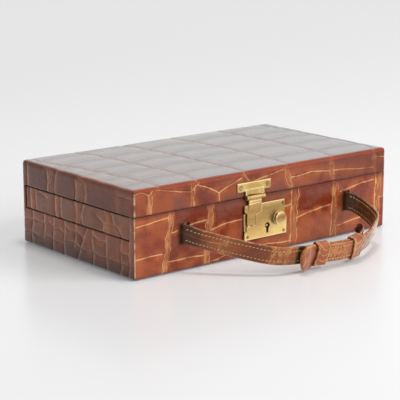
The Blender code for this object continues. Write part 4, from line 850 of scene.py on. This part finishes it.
def sewStrap(name, line, first, last, rowHigh):
    # two rows of slanted stitches on each face
    s = walkedAlong(line) / mm
    along, out = headings(line)
    shape = bmesh.new()
    draw = random.Random(len(line))
    up = Vector((0, 0, 1))
    swing, jump = stitch["uneven"]
    for place in np.arange(first, last, stitch["pitch"]):
        k = int(np.searchsorted(s, place))
        a = Vector((*along[k], 0))
        for row in (-rowHigh, rowHigh):
            for face in (-1, 1):
                sunk = stitch["sunkBack"] if face < 0 and row < 0 else stitch["sunk"]
                middle = line[k] + out[k] * face * (strap["thick"] / 2 - sunk) * mm
                lean = math.radians(stitch["lean"] + draw.uniform(-swing, swing))
                n = Vector((*out[k], 0)) * face
                run = (a * math.cos(lean) + up * math.sin(lean)).normalized()
                axes = (run, n.cross(run).normalized(), n)
                turn = Matrix([axis * size for axis, size in zip(axes, stitch["size"])]).transposed().to_4x4()
                high = (row + draw.uniform(-jump, jump)) * mm
                bmesh.ops.create_uvsphere(shape, u_segments=8, v_segments=5, radius=1.0,
                                          matrix=Matrix.Translation((*middle, high)) @ turn)
    bmesh.ops.recalc_face_normals(shape, faces=shape.faces)
    fitHandle(finishMesh(name, shape), thread)


def buildHandle():
    line = smoothLine(
        [(handle["left"] + handle["span"] * a, -handle["reach"] * b) for a, b in handle["plan"]],
        handle["step"])
    share = (line[:, 0] - handle["left"]) / handle["span"]
    peak = int(np.argmax(share))
    index = np.arange(len(line))
    inside = np.arange(handle["inside"], 0, -handle["step"])
    behind = handle["inside"] / mm
    along, out = headings(line)

    # left strap, with its tip curled in behind the second keeper
    keep = (share <= strap["leftEnd"]) & (index <= peak)
    left = line[keep]
    heading, inward = along[keep][-1], -out[keep][-1]
    radius = strap["curl"] * mm
    turn = np.radians(np.arange(6, strap["curlTurn"], 6))[:, None]
    tip = left[-1] + inward * radius * (1 - np.cos(turn)) + heading * radius * np.sin(turn)
    left = np.vstack([np.stack([np.full(len(inside), handle["left"]), inside], 1), left, tip])
    s = walkedAlong(left) / mm
    length = s[-1]
    narrowFrom, narrowOver, narrowBy = strap["tip"]
    blunted = np.clip(1 - (length - s) / strap["tipRound"], 0, 1)
    wide = np.sqrt(np.clip(1 - blunted ** 2, 0.12, 1))
    wide = wide * (1 - narrowBy * ease((s - length + narrowFrom) / narrowOver))
    tongueAt = walkedAlong(line)[np.argmin(np.abs(share[:peak] - strap["tongueEnd"]))] / mm
    # the tongue's painted shadow falls on the left strap beside the tongue's end
    made = sweepStrap("strapLeftHide", left, strap["leftCreases"], 3, stitch["rows"][0], behind, wide,
                      strap["tipRise"] * ease((s - length + 18) / 12), dark=tongueAt + behind + 3.5)
    fitHandle(made, strapHide, ["strap_left", "strap_root_left"], True)
    first, last = stitch["leftEnds"]
    sewStrap("strapLeftStitches", left, first, length - last, stitch["rows"][0])

    # right strap, laid outside the left one and ending in the free tongue
    keep = (share >= strap["tongueEnd"]) | (index > peak)
    lapStart, lapEnd = handle["lapFrom"]
    over = np.where(index > peak, 0, ease((lapStart - share) / (lapStart - lapEnd)))
    loose = keeper["places"][0] - 0.5 * keeper["width"] * mm / handle["span"]
    flare = np.where(index > peak, 0, ease((loose - share) / (loose - strap["tongueEnd"])))
    right = (line + out * ((handle["lap"] * over + strap["flare"] * flare) * mm)[:, None])[keep]
    slotRight = handle["left"] + handle["span"]
    right = np.vstack([right, np.stack([np.full(len(inside), slotRight), inside[::-1]], 1)])
    tipLength = (loose - strap["tongueEnd"]) * handle["span"] / mm
    s = walkedAlong(right) / mm
    length = s[-1]
    # an upright oval leaf, narrowing again to the strap's width at the keeper
    leaf, oval = strap["leafHalf"] / strap["half"], strap["leafRound"]
    near, far = np.clip(1 - s / oval, 0, 1), np.clip((s - oval) / (tipLength - 8.0), 0, 1)
    wide = np.where(s < oval, leaf * np.sqrt(np.clip(1 - near ** 2.4, 0.03, 1)), leaf - (leaf - 1) * far ** 2)
    free = ease((tipLength + 1 - s) / oval)
    creases = list(strap["rightCreases"])
    creases += [(length - back, deep, slant) for back, deep, slant in strap["rightEndCreases"]]
    made = sweepStrap("strapRightHide", right, creases, 8, stitch["rows"][1], length - behind, wide,
                      -2.0 * free, lean=-0.30 * free)
    fitHandle(made, strapHide, ["strap_right", "strap_root_right"], True)
    first, last = stitch["rightEnds"]
    sewStrap("strapRightStitches", right, tipLength + first, length - last, stitch["rows"][1])

    for number, at in enumerate(keeper["places"], 1):
        k = int(np.argmin(np.abs(share[:peak] - at)))
        buildKeeper(number, line[k] + out[k] * handle["lap"] / 2 * mm, along[k], out[k])


def buildKeeper(number, middle, along, out):
    # a leather loop round both straps, a little wavy, with worn edges
    turn = np.linspace(0, math.tau, 4001)
    loop = np.stack([np.sign(c) * np.abs(c) ** power * half for c, power, half
                     in zip((np.cos(turn), np.sin(turn)), keeper["square"], keeper["half"])], 1)
    loop = evenly(loop, keeper["round"])
    normal = headings(loop)[1][:-1, None]
    loop = loop[:-1, None]
    turn, high = np.linspace(0, math.tau, keeper["round"] + 1)[:-1, None], loop[..., 1]
    width = keeper["width"]
    u, n = bandSection(width / 2, keeper["rim"], keeper["across"], keeper["corner"])
    u, n = u[None, :], 0.5 + 0.5 * n[None, :]
    fromEdge = width / 2 - np.abs(u)
    lip = np.clip(keeper["lip"] - fromEdge, 0, 1)
    rise, place, wide = keeper["ridge"]
    raised = rise * np.exp(-((fromEdge - place) / wide) ** 2) + keeper["bow"] * np.cos(u / width * math.pi)
    slow, quick = keeper["wobble"]
    wobble = slow * np.sin(turn * 3 + number) + quick * np.sin(turn * 7 + 2 * number)
    crease = keeper["crease"] * np.sin(high * 1.1 + u * 0.5 * np.sin(number + high * 0.2))
    q = loop + normal * ((keeper["thick"] + raised + 0.4 * crease) * n)[..., None]
    aside = u + wobble * lip + keeper["leans"][number - 1] * high
    flat = middle + out * q[..., :1] * mm + along * aside[..., None] * mm
    pitch = keeper["linePitch"]
    near = (high + 2.6 * np.sin(u * 0.35 + number)) % pitch - 2.6
    rubbed = lip * np.where((u > 0) == (number == 1), *keeper["wear"])
    fields = {"groove": np.abs(near) + 0.2, "side": near, "band": lip * 0.9, "tint": 0.6, "edge": rubbed}
    found = rollUp(f"keeper{number}Hide", np.dstack([flat, q[..., 1] * mm]), fields, ring=True)
    bendDown(found)
    dress(found, strapHide, "handle", [f"keeper_{number}"])


# Skins: a box of fine grids, folded over rounded edges and pressed into scales

skins = {
    "cell": 0.8, "depthCell": 1.0 * mm, "lidRise": 0.56 * mm, "baseRise": 0.62 * mm, "drawerRise": 0.6,
    "leather": 1.2 * mm, "lidEdge": 3.1 * mm, "baseEdge": 2.0 * mm, "drawerEdge": 0.7 * mm,
    "bottomFold": 7.0 * mm, "lidFold": 2 * mm, "bay": (0.9 * mm, 0.3 * mm, 1.5 * mm), "besideLock": 0.5 * mm,
    "slopeDrop": 0.55 * mm, "slopeReach": 4.5 * mm, "slopeHeight": 9.0 * mm,
    "lidGrow": 0.5 * mm, "baseGrow": 0.8 * mm, "near": 0.01 * mm}


def snapLines(points, axis, targets):
    # moves the nearest grid line onto each wanted coordinate
    values = np.unique(np.round(points[:, axis], 7))
    for target in targets:
        nearest = values[np.argmin(np.abs(values - target))]
        points[np.abs(points[:, axis] - nearest) < 1e-6, axis] = target


def pressHide(found, low, high, faces, radius, roundLow, roundHigh, seed):
    low, high = np.array(low), np.array(high)
    p = placesOf(found.data)
    sides = {
        label: np.abs(p[:, axis] - (high if upper else low)[axis]) < 1e-6 for label, axis, upper in
        (("top", 2, True), ("front", 1, False), ("left", 0, False), ("right", 0, True), ("back", 1, True))}
    fields = np.zeros((len(p), 6))
    fields[:, :2] = 9.0
    taken = np.zeros(len(p), bool)
    outer = np.zeros(len(p), bool)
    for label, here in sides.items():
        if label != "top" or label in faces:
            outer |= here
        if label in faces:
            here = here & ~taken
            axes = [1 if label in ("left", "right") else 0, 1 if label == "top" else 2]
            across = (p[here][:, axes] - low[axes]) / (high - low)[axes] * faces[label]["size"]
            fields[here] = np.stack(hideFields(faces[label], *across.T, seed + len(label)), 1)
            taken |= here
    core = np.clip(p, low + radius, high - radius)
    if not roundHigh:
        core[:, 2] = np.maximum(core[:, 2], p[:, 2])
    if not roundLow:
        core[:, 2] = np.where(p[:, 2] < low[2] + radius, p[:, 2], core[:, 2])
    away = p - core
    length = np.maximum(np.linalg.norm(away, axis=1, keepdims=True), 1e-9)
    lean = np.abs(away / length)
    edge = 2 * lean[:, 0] * lean[:, 1] * (length[:, 0] > radius / 2)
    p[outer] = (core + away / length * (radius + fields[:, 5:6] * mm - press["proud"]))[outer]
    if "top" in faces:
        # the padded top slopes down a little towards its edges
        inside = np.minimum(p - low, high - p)[:, :2].min(1)
        near = np.clip(1 - (high[2] - p[:, 2]) / skins["slopeHeight"], 0, 1)
        p[:, 2] -= skins["slopeDrop"] * np.exp(-np.clip(inside, 0, None) / skins["slopeReach"]) * near
    moveTo(found.data, p)
    fields[:, 5] = edge * outer
    for label, values in zip(fieldNames, fields.T):
        layer = found.data.attributes.new(label, "FLOAT", "POINT")
        layer.data.foreach_set("value", values.astype(np.float32))


def extrudeEdges(shape, edges):
    made = bmesh.ops.extrude_edge_only(shape, edges=edges)["geom"]
    return [[g for g in made if isinstance(g, kind)] for kind in (bmesh.types.BMVert, bmesh.types.BMEdge)]


def turnInRim(shape, edges, low, high, depth, rise):
    # the raw edge: turned in by the hide's thickness, then a little up behind it
    fresh, rim = extrudeEdges(shape, edges)
    for v in fresh:
        v.co.x = min(max(v.co.x, low[0] + depth), high[0] - depth)
        v.co.y = min(max(v.co.y, low[1] + depth), high[1] - depth)
    bmesh.ops.translate(shape, vec=(0, 0, rise), verts=extrudeEdges(shape, rim)[0])


def grownBox(node, grow):
    low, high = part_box(node)
    return (low[0] - grow, low[1] - grow, low[2]), (high[0] + grow, high[1] + grow, high[2])


def sideGrids(low, high, rise, top=False):
    w, d, h = (b - a for a, b in zip(low, high))
    nx, ny, nz = round(w / (skins["cell"] * mm)), round(d / skins["depthCell"]), round(h / rise)
    shape = bmesh.new()
    gridFace(shape, low, (w, 0, 0), (0, 0, h), nx, nz)
    gridFace(shape, (high[0], low[1], low[2]), (0, d, 0), (0, 0, h), ny, nz)
    gridFace(shape, (high[0], high[1], low[2]), (-w, 0, 0), (0, 0, h), nx, nz)
    gridFace(shape, (low[0], high[1], low[2]), (0, -d, 0), (0, 0, h), ny, nz)
    if top:
        gridFace(shape, (low[0], low[1], high[2]), (w, 0, 0), (0, d, 0), nx, ny)
    bmesh.ops.remove_doubles(shape, verts=shape.verts, dist=skins["near"])
    return shape


def buildLidSkin():
    low, high = grownBox("lid_covering", skins["lidGrow"])
    shape = sideGrids(low, high, skins["lidRise"], True)
    turnInRim(shape, [e for e in shape.edges if e.is_boundary], low, high, skins["leather"], skins["lidFold"])
    found = finishMesh("lidHide", shape)
    pressHide(found, low, high,
              {"top": topFace, "front": lidFrontFace, "left": lidLeftFace,
               "right": grownFace(160, 21, 5), "back": grownFace(280, 21, 9)},
              skins["lidEdge"], False, True, 11)
    dress(found, lidHide, "lid", ["lid_covering"])


def buildBaseSkin():
    low, high = grownBox("base_covering", skins["baseGrow"])
    bayLow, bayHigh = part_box("drawer_front_covering")
    below, before, behind = skins["bay"]
    front, back, bottom = bayLow[1] - before, bayHigh[1] + behind, bayLow[2] - below
    shape = sideGrids(low, high, skins["baseRise"])
    points = np.array([v.co for v in shape.verts])
    snapLines(points, 1, (front, back))
    snapLines(points, 2, (bottom,))
    for v, p in zip(shape.verts, points):
        v.co = p
    # the drawer's bay at the left, and the front's openings behind the lock and the strap roots
    openings = [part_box(node) for node in ("lock_case", "strap_root_left", "strap_root_right")]
    cut = []
    for f in shape.faces:
        x, y, z = f.calc_center_median()
        inBay = x < low[0] + skins["near"] and z > bottom and front < y < back
        inFront = y < low[1] + skins["near"] and any(
            abs(x - (a[0] + b[0]) / 2) < (b[0] - a[0]) / 2 + skins["besideLock"] and a[2] < z < b[2]
            for a, b in openings)
        if inBay or inFront:
            cut.append(f)
    bmesh.ops.delete(shape, geom=cut, context="FACES")
    loose = [e for e in shape.edges if e.is_boundary]
    lowest = [e for e in loose if all(v.co.z < low[2] + skins["near"] for v in e.verts)]
    turnInRim(shape, [e for e in loose if e not in set(lowest)], low, high, skins["leather"], 0)
    turnInRim(shape, lowest, low, high, skins["bottomFold"], skins["leather"])
    found = finishMesh("baseHide", shape)
    pressHide(found, low, high,
              {"front": baseFrontFace, "left": baseLeftFace, "right": grownFace(160, 51, 3),
               "back": grownFace(280, 51, 4)},
              skins["baseEdge"], True, False, 21)
    dress(found, baseHide, "base", ["base_covering"])


def buildDrawerSkin():
    low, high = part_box("drawer_front_covering")
    low = (low[0] - skins["baseGrow"], low[1], low[2])
    d, h = high[1] - low[1], high[2] - low[2]
    shape = bmesh.new()
    gridFace(shape, (low[0], high[1], low[2]), (0, -d, 0), (0, 0, h),
             round(d / mm / skins["cell"]), round(h / mm / skins["drawerRise"]))
    fresh, _ = extrudeEdges(shape, [e for e in shape.edges if e.is_boundary])
    bmesh.ops.translate(shape, vec=(skins["leather"] + skins["baseGrow"], 0, 0), verts=fresh)
    found = finishMesh("drawerFrontHide", shape)
    pressHide(found, low, (high[0] + 20 * mm, high[1], high[2]), {"left": drawerFace}, skins["drawerEdge"],
              True, True, 31)
    dress(found, drawerHide, "drawer", ["drawer_front_covering"])


# Looks of all the pieces. Shades are painted shade: axis, from and to in millimetres, and how dark they get.

caseLight = (0.84, 0.43, 0.18)
# the lid: painted shade at its rolled top edge, along its lower rim by the seam and towards the front's right
# end; a painted reflection falloff at the top's front edge
lidHide = hideLook("lidHide", (0.18, 0.026, 0.010), (0.34, 0.078, 0.026), (0.20, 0.060, 0.042),
                   caseLight, 0.72, reflectionFalloffFrom=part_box("lid_covering")[0][1],
                   shades=(("Z", 67.0, 70.0, 0.30), ("Z", 53.6, 51.6, 0.45), ("X", 40.0, 120.0, 0.52)))
# the base: painted shade under the lid's overhang and at its foot
baseHide = hideLook("baseHide", (0.21, 0.027, 0.008), (0.42, 0.100, 0.029), (0.23, 0.070, 0.042),
                    caseLight, 0.72, shades=(("Z", 47.0, 51.2, 0.70), ("Z", 4.0, 0.6, 0.68)))
# the drawer front: painted shade along its top edge, under the lid
drawerHide = hideLook("drawerHide", (0.22, 0.065, 0.028), (0.32, 0.11, 0.050), (0.27, 0.11, 0.060),
                      (0.46, 0.22, 0.10), 0.3, shades=(("Z", 49.2, 50.4, 0.4),))
strapHide = hideLook("strapHide", (0.22, 0.050, 0.018), (0.40, 0.115, 0.045), (0.26, 0.080, 0.040),
                     (0.70, 0.34, 0.13), 0.60, 0.3, 0.65, True)
# dark hide, made darker still to stand in for shade: partly its own colour, partly painted shade
darkHideAndShade = hideLook("darkHideAndShade", (0.035, 0.015, 0.008), (0.070, 0.030, 0.016), (0.05, 0.025, 0.015),
                    (0.14, 0.06, 0.03), 0.3, 0.1, 0.2)
# the last setting paints a darker reflection on the upper part of the brass
brass = metalLook("polishedBrass", (1.0, 0.71, 0.28), (0.96, 0.64, 0.23), 0.24,
                  (37 * mm, 45 * mm, (0.60, 0.38, 0.14)))
# painted shade: a darker copy of the brass for the hasp plate, which mirrors the bright floor more than the
# lock plate
shadedHaspBrass = metalLook("shadedHaspBrass", (0.64, 0.43, 0.16), (0.48, 0.31, 0.10), 0.28)
# painted highlight: a paler brass on the bevelled edges of the lock's plates
edgeHighlightBrass = metalLook("edgeHighlightBrass", (1.0, 0.86, 0.50), (1.0, 0.78, 0.40), 0.30)
pinBrass = metalLook("pinBrass", (0.44, 0.34, 0.16), (0.28, 0.21, 0.10), 0.38)
knobBrass = metalLook("knobBrass", (0.95, 0.68, 0.32), (0.84, 0.54, 0.22), 0.24)
dullBrass = metalLook("dullBrass", (0.30, 0.23, 0.13), (0.17, 0.13, 0.08), 0.40)
thread = threadLook()
pile = clothLook("velvetPile", (0.10, 0.007, 0.010), (0.20, 0.018, 0.020), sheen=0.35)
silk = clothLook("liningSilk", (0.20, 0.022, 0.022), (0.33, 0.055, 0.048), 500.0, 0.2)
slotLooks = {
    "hide": baseHide, "handle_hide": strapHide, "dark_hide": darkHideAndShade, "pile": pile, "lid_silk": silk,
    "brass": brass, "dull_brass": dullBrass, "case_wood": woodLook("bareBoard"),
    "felt": clothLook("undersideFelt", (0.035, 0.018, 0.012), (0.08, 0.04, 0.03), 900.0, 0.2),
    "steel": metalLook("springSteel", (0.55, 0.55, 0.57), (0.35, 0.35, 0.36), 0.3)}

# Lock: polished plates, bands across the hasp's neck, the floor below the leaf's tail, and the knob

lock = {
    "plates": {"lock_plate": (brass, "base", 0.62 * mm), "hasp_leaf": (brass, "hasp", 0.17 * mm),
               "hasp_plate": (shadedHaspBrass, "lid", 0.48 * mm)},
    "bands": ((47.5, 0.8), (45.4, 0.7)), "bandMiddle": -17.0, "bandHalf": 7.0, "bandFace": -82.4,
    "proud": 0.85, "sunk": 0.5, "floor": ((-22.0, -82.38, 25.22), (-19.15, -81.4, 26.1))}
knob = {"place": (9.8, 29.0), "round": 40, "profile": (
    (1.2, -86.43), (3.5, -86.38), (4.8, -86.30), (5.5, -86.20), (5.88, -86.02), (6.08, -85.75),
    (6.14, -85.4), (6.14, -84.75), (5.95, -84.35), (5.4, -83.90), (2.9, -83.62), (2.9, -83.56),
    (5.95, -83.52), (6.28, -83.42), (6.42, -83.1), (6.42, -82.6))}


def bar(name, low, high, look, body):
    shape = bmesh.new()
    low, high = Vector(low) * mm, Vector(high) * mm
    addBox(shape, low, high)
    bmesh.ops.bevel(shape, geom=shape.edges[:], offset=min(high - low) * 0.3, segments=2, profile=0.6,
                    affect="EDGES")
    dress(finishMesh(name, shape), look, body)


def buildLock():
    for piece, (look, body, width) in lock["plates"].items():
        polish(piece, look, body, width, edgeLook=edgeHighlightBrass)
    x, half, face = lock["bandMiddle"], lock["bandHalf"], lock["bandFace"]
    for number, (z, tall) in enumerate(lock["bands"]):
        bar(f"neckBand{number}", (x - half, face - lock["proud"], z - tall),
            (x + half, face + lock["sunk"], z + tall), knobBrass, "hasp")
    bar("channelFloor", *lock["floor"], brass, "base")


def buildKnob():
    # the turned knob and its flange, polished over the machined one
    x, z = knob["place"]
    shape = bmesh.new()
    outline = [shape.verts.new(((x + radius) * mm, y * mm, z * mm)) for radius, y in knob["profile"]]
    edges = [shape.edges.new(pair) for pair in zip(outline, outline[1:])]
    bmesh.ops.spin(shape, geom=outline + edges, cent=(x * mm, 0, z * mm), axis=(0, -1, 0), angle=math.tau,
                   steps=knob["round"], use_merge=True)
    bmesh.ops.holes_fill(shape, edges=[e for e in shape.edges if e.is_boundary], sides=0)
    bmesh.ops.recalc_face_normals(shape, faces=shape.faces)
    dress(finishMesh("turnedKnob", shape), knobBrass, "latch")


# Softened edges of linings and hinges, velvet rolls for rings, and the lid's quilted pad

linings = {"drawer_lining": 0.8, "drawer_partition_left": 0.5, "drawer_partition_right": 0.5,
           "drawer_partition_cross": 0.5, "lower_lining": 0.8, "lower_partition": 0.5}
hingeEdge = 0.3 * mm
rolls = {"count": 7, "steps": 66, "around": 28, "square": (0.75, 0.8, 0.35), "roundEnd": 0.9, "endPower": 2.4,
         "endLow": 0.25, "slack": 0.015, "swell": 0.012, "fill": 0.8}
pad = {"voxel": 3.2 * mm, "inset": (1.5, 1.5, 0.4), "start": 3.0 * mm, "pressure": 4.0, "frames": 20,
       "quality": 5, "most": (1.0 * mm, 4.0 * mm), "within": 0.1 * mm, "quilt": 36.0, "seam": 2.1 * mm,
       "seamWide": 3.0, "seamShare": 0.7, "buttonShare": 0.5, "buttonReach": 5.0, "fill": 0.5}
piping = {"radius": 1.25 * mm, "high": 3.2 * mm, "inset": 4.4 * mm, "corner": 3.0 * mm, "steps": 7,
          "round": 10}
button = {"size": (2.9 * mm, 2.9 * mm, 1.2 * mm), "high": 1.7 * mm, "clear": 10 * mm}


def buildRolls():
    # a stuffed tube in velvet: flat below, domed above, drawn in at both ends
    t = np.linspace(0, 1, rolls["steps"] + 1)[:, None]
    turn = np.linspace(0, math.tau, rolls["around"], endpoint=False)[None, :]
    c, s = np.cos(turn), np.sin(turn)
    aside, above, below = rolls["square"]
    for number in range(1, rolls["count"] + 1):
        low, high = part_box(f"ring_roll_{number}")
        half, tall = (high[0] - low[0]) / 2, high[2] - low[2]
        along = low[1] + (high[1] - low[1]) * t
        end = np.minimum(t, 1 - t) * (high[1] - low[1]) / half
        grow = np.sqrt(np.clip(1 - np.clip(1 - end / rolls["roundEnd"], 0, 1) ** rolls["endPower"], 0, 1))
        swell = 1 - rolls["slack"] - rolls["swell"] * np.sin(along / mm * 0.21 + number) * (s > 0)
        x = half * np.copysign(np.abs(c) ** aside, c) * grow * swell
        z = tall / 2 * np.copysign(np.abs(s) ** np.where(s > 0, above, below), s)
        z = z * (rolls["endLow"] + (1 - rolls["endLow"]) * grow) * swell
        x = (low[0] + high[0]) / 2 + x
        places = np.dstack([x, np.broadcast_to(along, x.shape), low[2] + tall / 2 + z])
        found = rollUp(f"ringRoll{number}", places, join=0.02 * mm)
        dress(found, pile, "drawer", [f"ring_roll_{number}"])


def settled(found):
    # the shape that the live modifiers give, kept as the piece's own mesh
    graph = bpy.context.evaluated_depsgraph_get()
    mesh = bpy.data.meshes.new_from_object(found.evaluated_get(graph), depsgraph=graph)
    old = found.data
    found.modifiers.clear()
    found.data = mesh
    bpy.data.meshes.remove(old)
    return mesh


def swollen(found):
    # where a cloth simulation takes the piece's points in its fixed number of frames
    scene = bpy.context.scene
    cloth = found.modifiers.new("cloth", "CLOTH")
    cloth.settings.quality = pad["quality"]
    cloth.settings.use_pressure = True
    cloth.settings.uniform_pressure_force = pad["pressure"]
    cloth.settings.effector_weights.gravity = 0.0
    cloth.point_cache.frame_start, cloth.point_cache.frame_end = 1, pad["frames"]
    for step in range(1, pad["frames"] + 1):
        scene.frame_set(step)
    places = placesOf(found.evaluated_get(bpy.context.evaluated_depsgraph_get()).data)
    found.modifiers.clear()
    scene.frame_set(1)
    return places


def buildPad():
    # the lid's pad: a thin box swollen by simulation, then sewn in diamonds
    low, high = (np.array(c, float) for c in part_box("lid_pad"))
    inset = np.array(pad["inset"]) * mm
    start, end = low + inset, high - inset
    start[2] = end[2] - pad["start"]
    shape = bmesh.new()
    addBox(shape, start, end)
    found = finishMesh("lidCushion", shape)
    remesh = found.modifiers.new("remesh", "REMESH")
    remesh.mode, remesh.voxel_size = "VOXEL", pad["voxel"]
    mesh = settled(found)
    p = placesOf(mesh)
    move = swollen(found) - p
    aside, upward = pad["most"]
    length = np.linalg.norm(move[:, :2], axis=1, keepdims=True) + 1e-12
    p[:, :2] += move[:, :2] / length * np.minimum(length, aside)
    p[:, 2] += np.clip(move[:, 2], -upward, upward)
    # the face that is seen when the lid is up is drawn in along the seams and at the buttons
    pitch = pad["quilt"]
    u, v = p[:, 0] / mm, p[:, 1] / mm
    first, second = (np.abs((c / 1.4142 + pitch / 2) % pitch - pitch / 2) for c in (u + v, u - v))
    drawn = pad["seamShare"] * np.exp(-(np.minimum(first, second) / pad["seamWide"]) ** 2)
    drawn += pad["buttonShare"] * np.exp(-(np.hypot(first, second) / pad["buttonReach"]) ** 2)
    p = np.clip(p, low + pad["within"], high - pad["within"])
    p[:, 2] += np.where(p[:, 2] < (start[2] + end[2]) / 2, pad["seam"] * drawn, 0)
    moveTo(mesh, np.clip(p, low + pad["within"], high - pad["within"]))
    finer = found.modifiers.new("finer", "SUBSURF")
    finer.levels = finer.render_levels = 1
    settled(found).shade_smooth()
    dress(found, silk, "lid", ["lid_pad"])


def buildPiping():
    # a covered cord round the pad's edge, with rounded corners
    low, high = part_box("lid_pad")
    middle, half = (Vector(low) + Vector(high)) / 2, (Vector(high) - Vector(low)) / 2
    line = []
    for corner, (right, back) in enumerate(((1, 1), (-1, 1), (-1, -1), (1, -1))):
        for a in np.radians(90 * corner + np.linspace(0, 90, piping["steps"])):
            line.append((middle.x + right * (half.x - piping["inset"]) + piping["corner"] * math.cos(a),
                         middle.y + back * (half.y - piping["inset"]) + piping["corner"] * math.sin(a), 0))
    line = np.array(line)
    ahead = np.roll(line, -1, 0) - np.roll(line, 1, 0)
    outward = np.stack([ahead[:, 1], -ahead[:, 0], ahead[:, 2]], 1)
    outward /= np.linalg.norm(outward, axis=1, keepdims=True)
    turn = np.linspace(0, math.tau, piping["round"], endpoint=False)[None, :, None]
    places = line[:, None] + piping["radius"] * outward[:, None] * np.cos(turn)
    places[..., 2:] += low[2] + piping["high"] + piping["radius"] * np.sin(turn)
    dress(rollUp("lidPiping", places, ring=True), silk, "lid")


def buildButtons():
    # covered buttons where the pad's seams cross
    low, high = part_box("lid_pad")
    step = pad["quilt"] / 1.4142 * mm
    shape = bmesh.new()
    for i in range(-8, 9):
        for j in range(-4, 5):
            x, y = i * step, j * step
            if (i + j) % 2 or abs(x) > high[0] - button["clear"] or abs(y) > high[1] - button["clear"]:
                continue
            bmesh.ops.create_uvsphere(shape, u_segments=16, v_segments=8, radius=1.0,
                                      matrix=Matrix.Translation((x, y, low[2] + button["high"]))
                                      @ Matrix.Diagonal((*button["size"], 1)))
    dress(finishMesh("lidButtons", shape), silk, "lid")


for part in frame["record"]["subparts"]:
    isPin = "plate_pin" in part["node"] or "screw" in part["node"]
    giveLook(nodes[part["node"]], pinBrass if isPin else slotLooks[part["material_slot"]])
buildStudio()
print("stage: studio set")
buildLidSkin()
buildBaseSkin()
buildDrawerSkin()
print("stage: hide covers made")
buildHandle()
print("stage: handle made")
buildLock()
buildKnob()
print("stage: lock finished")
for piece, width in linings.items():
    polish(piece, pile, "drawer" if piece.startswith("drawer") else "base", width * mm)
for side in ("left", "right"):
    for body in ("base", "lid"):
        polish(f"hinge_{body}_leaf_{side}", dullBrass, body, hingeEdge)
print("stage: linings and hinges finished")
buildRolls()
buildPad()
buildPiping()
buildButtons()
print("stage: interior finished")
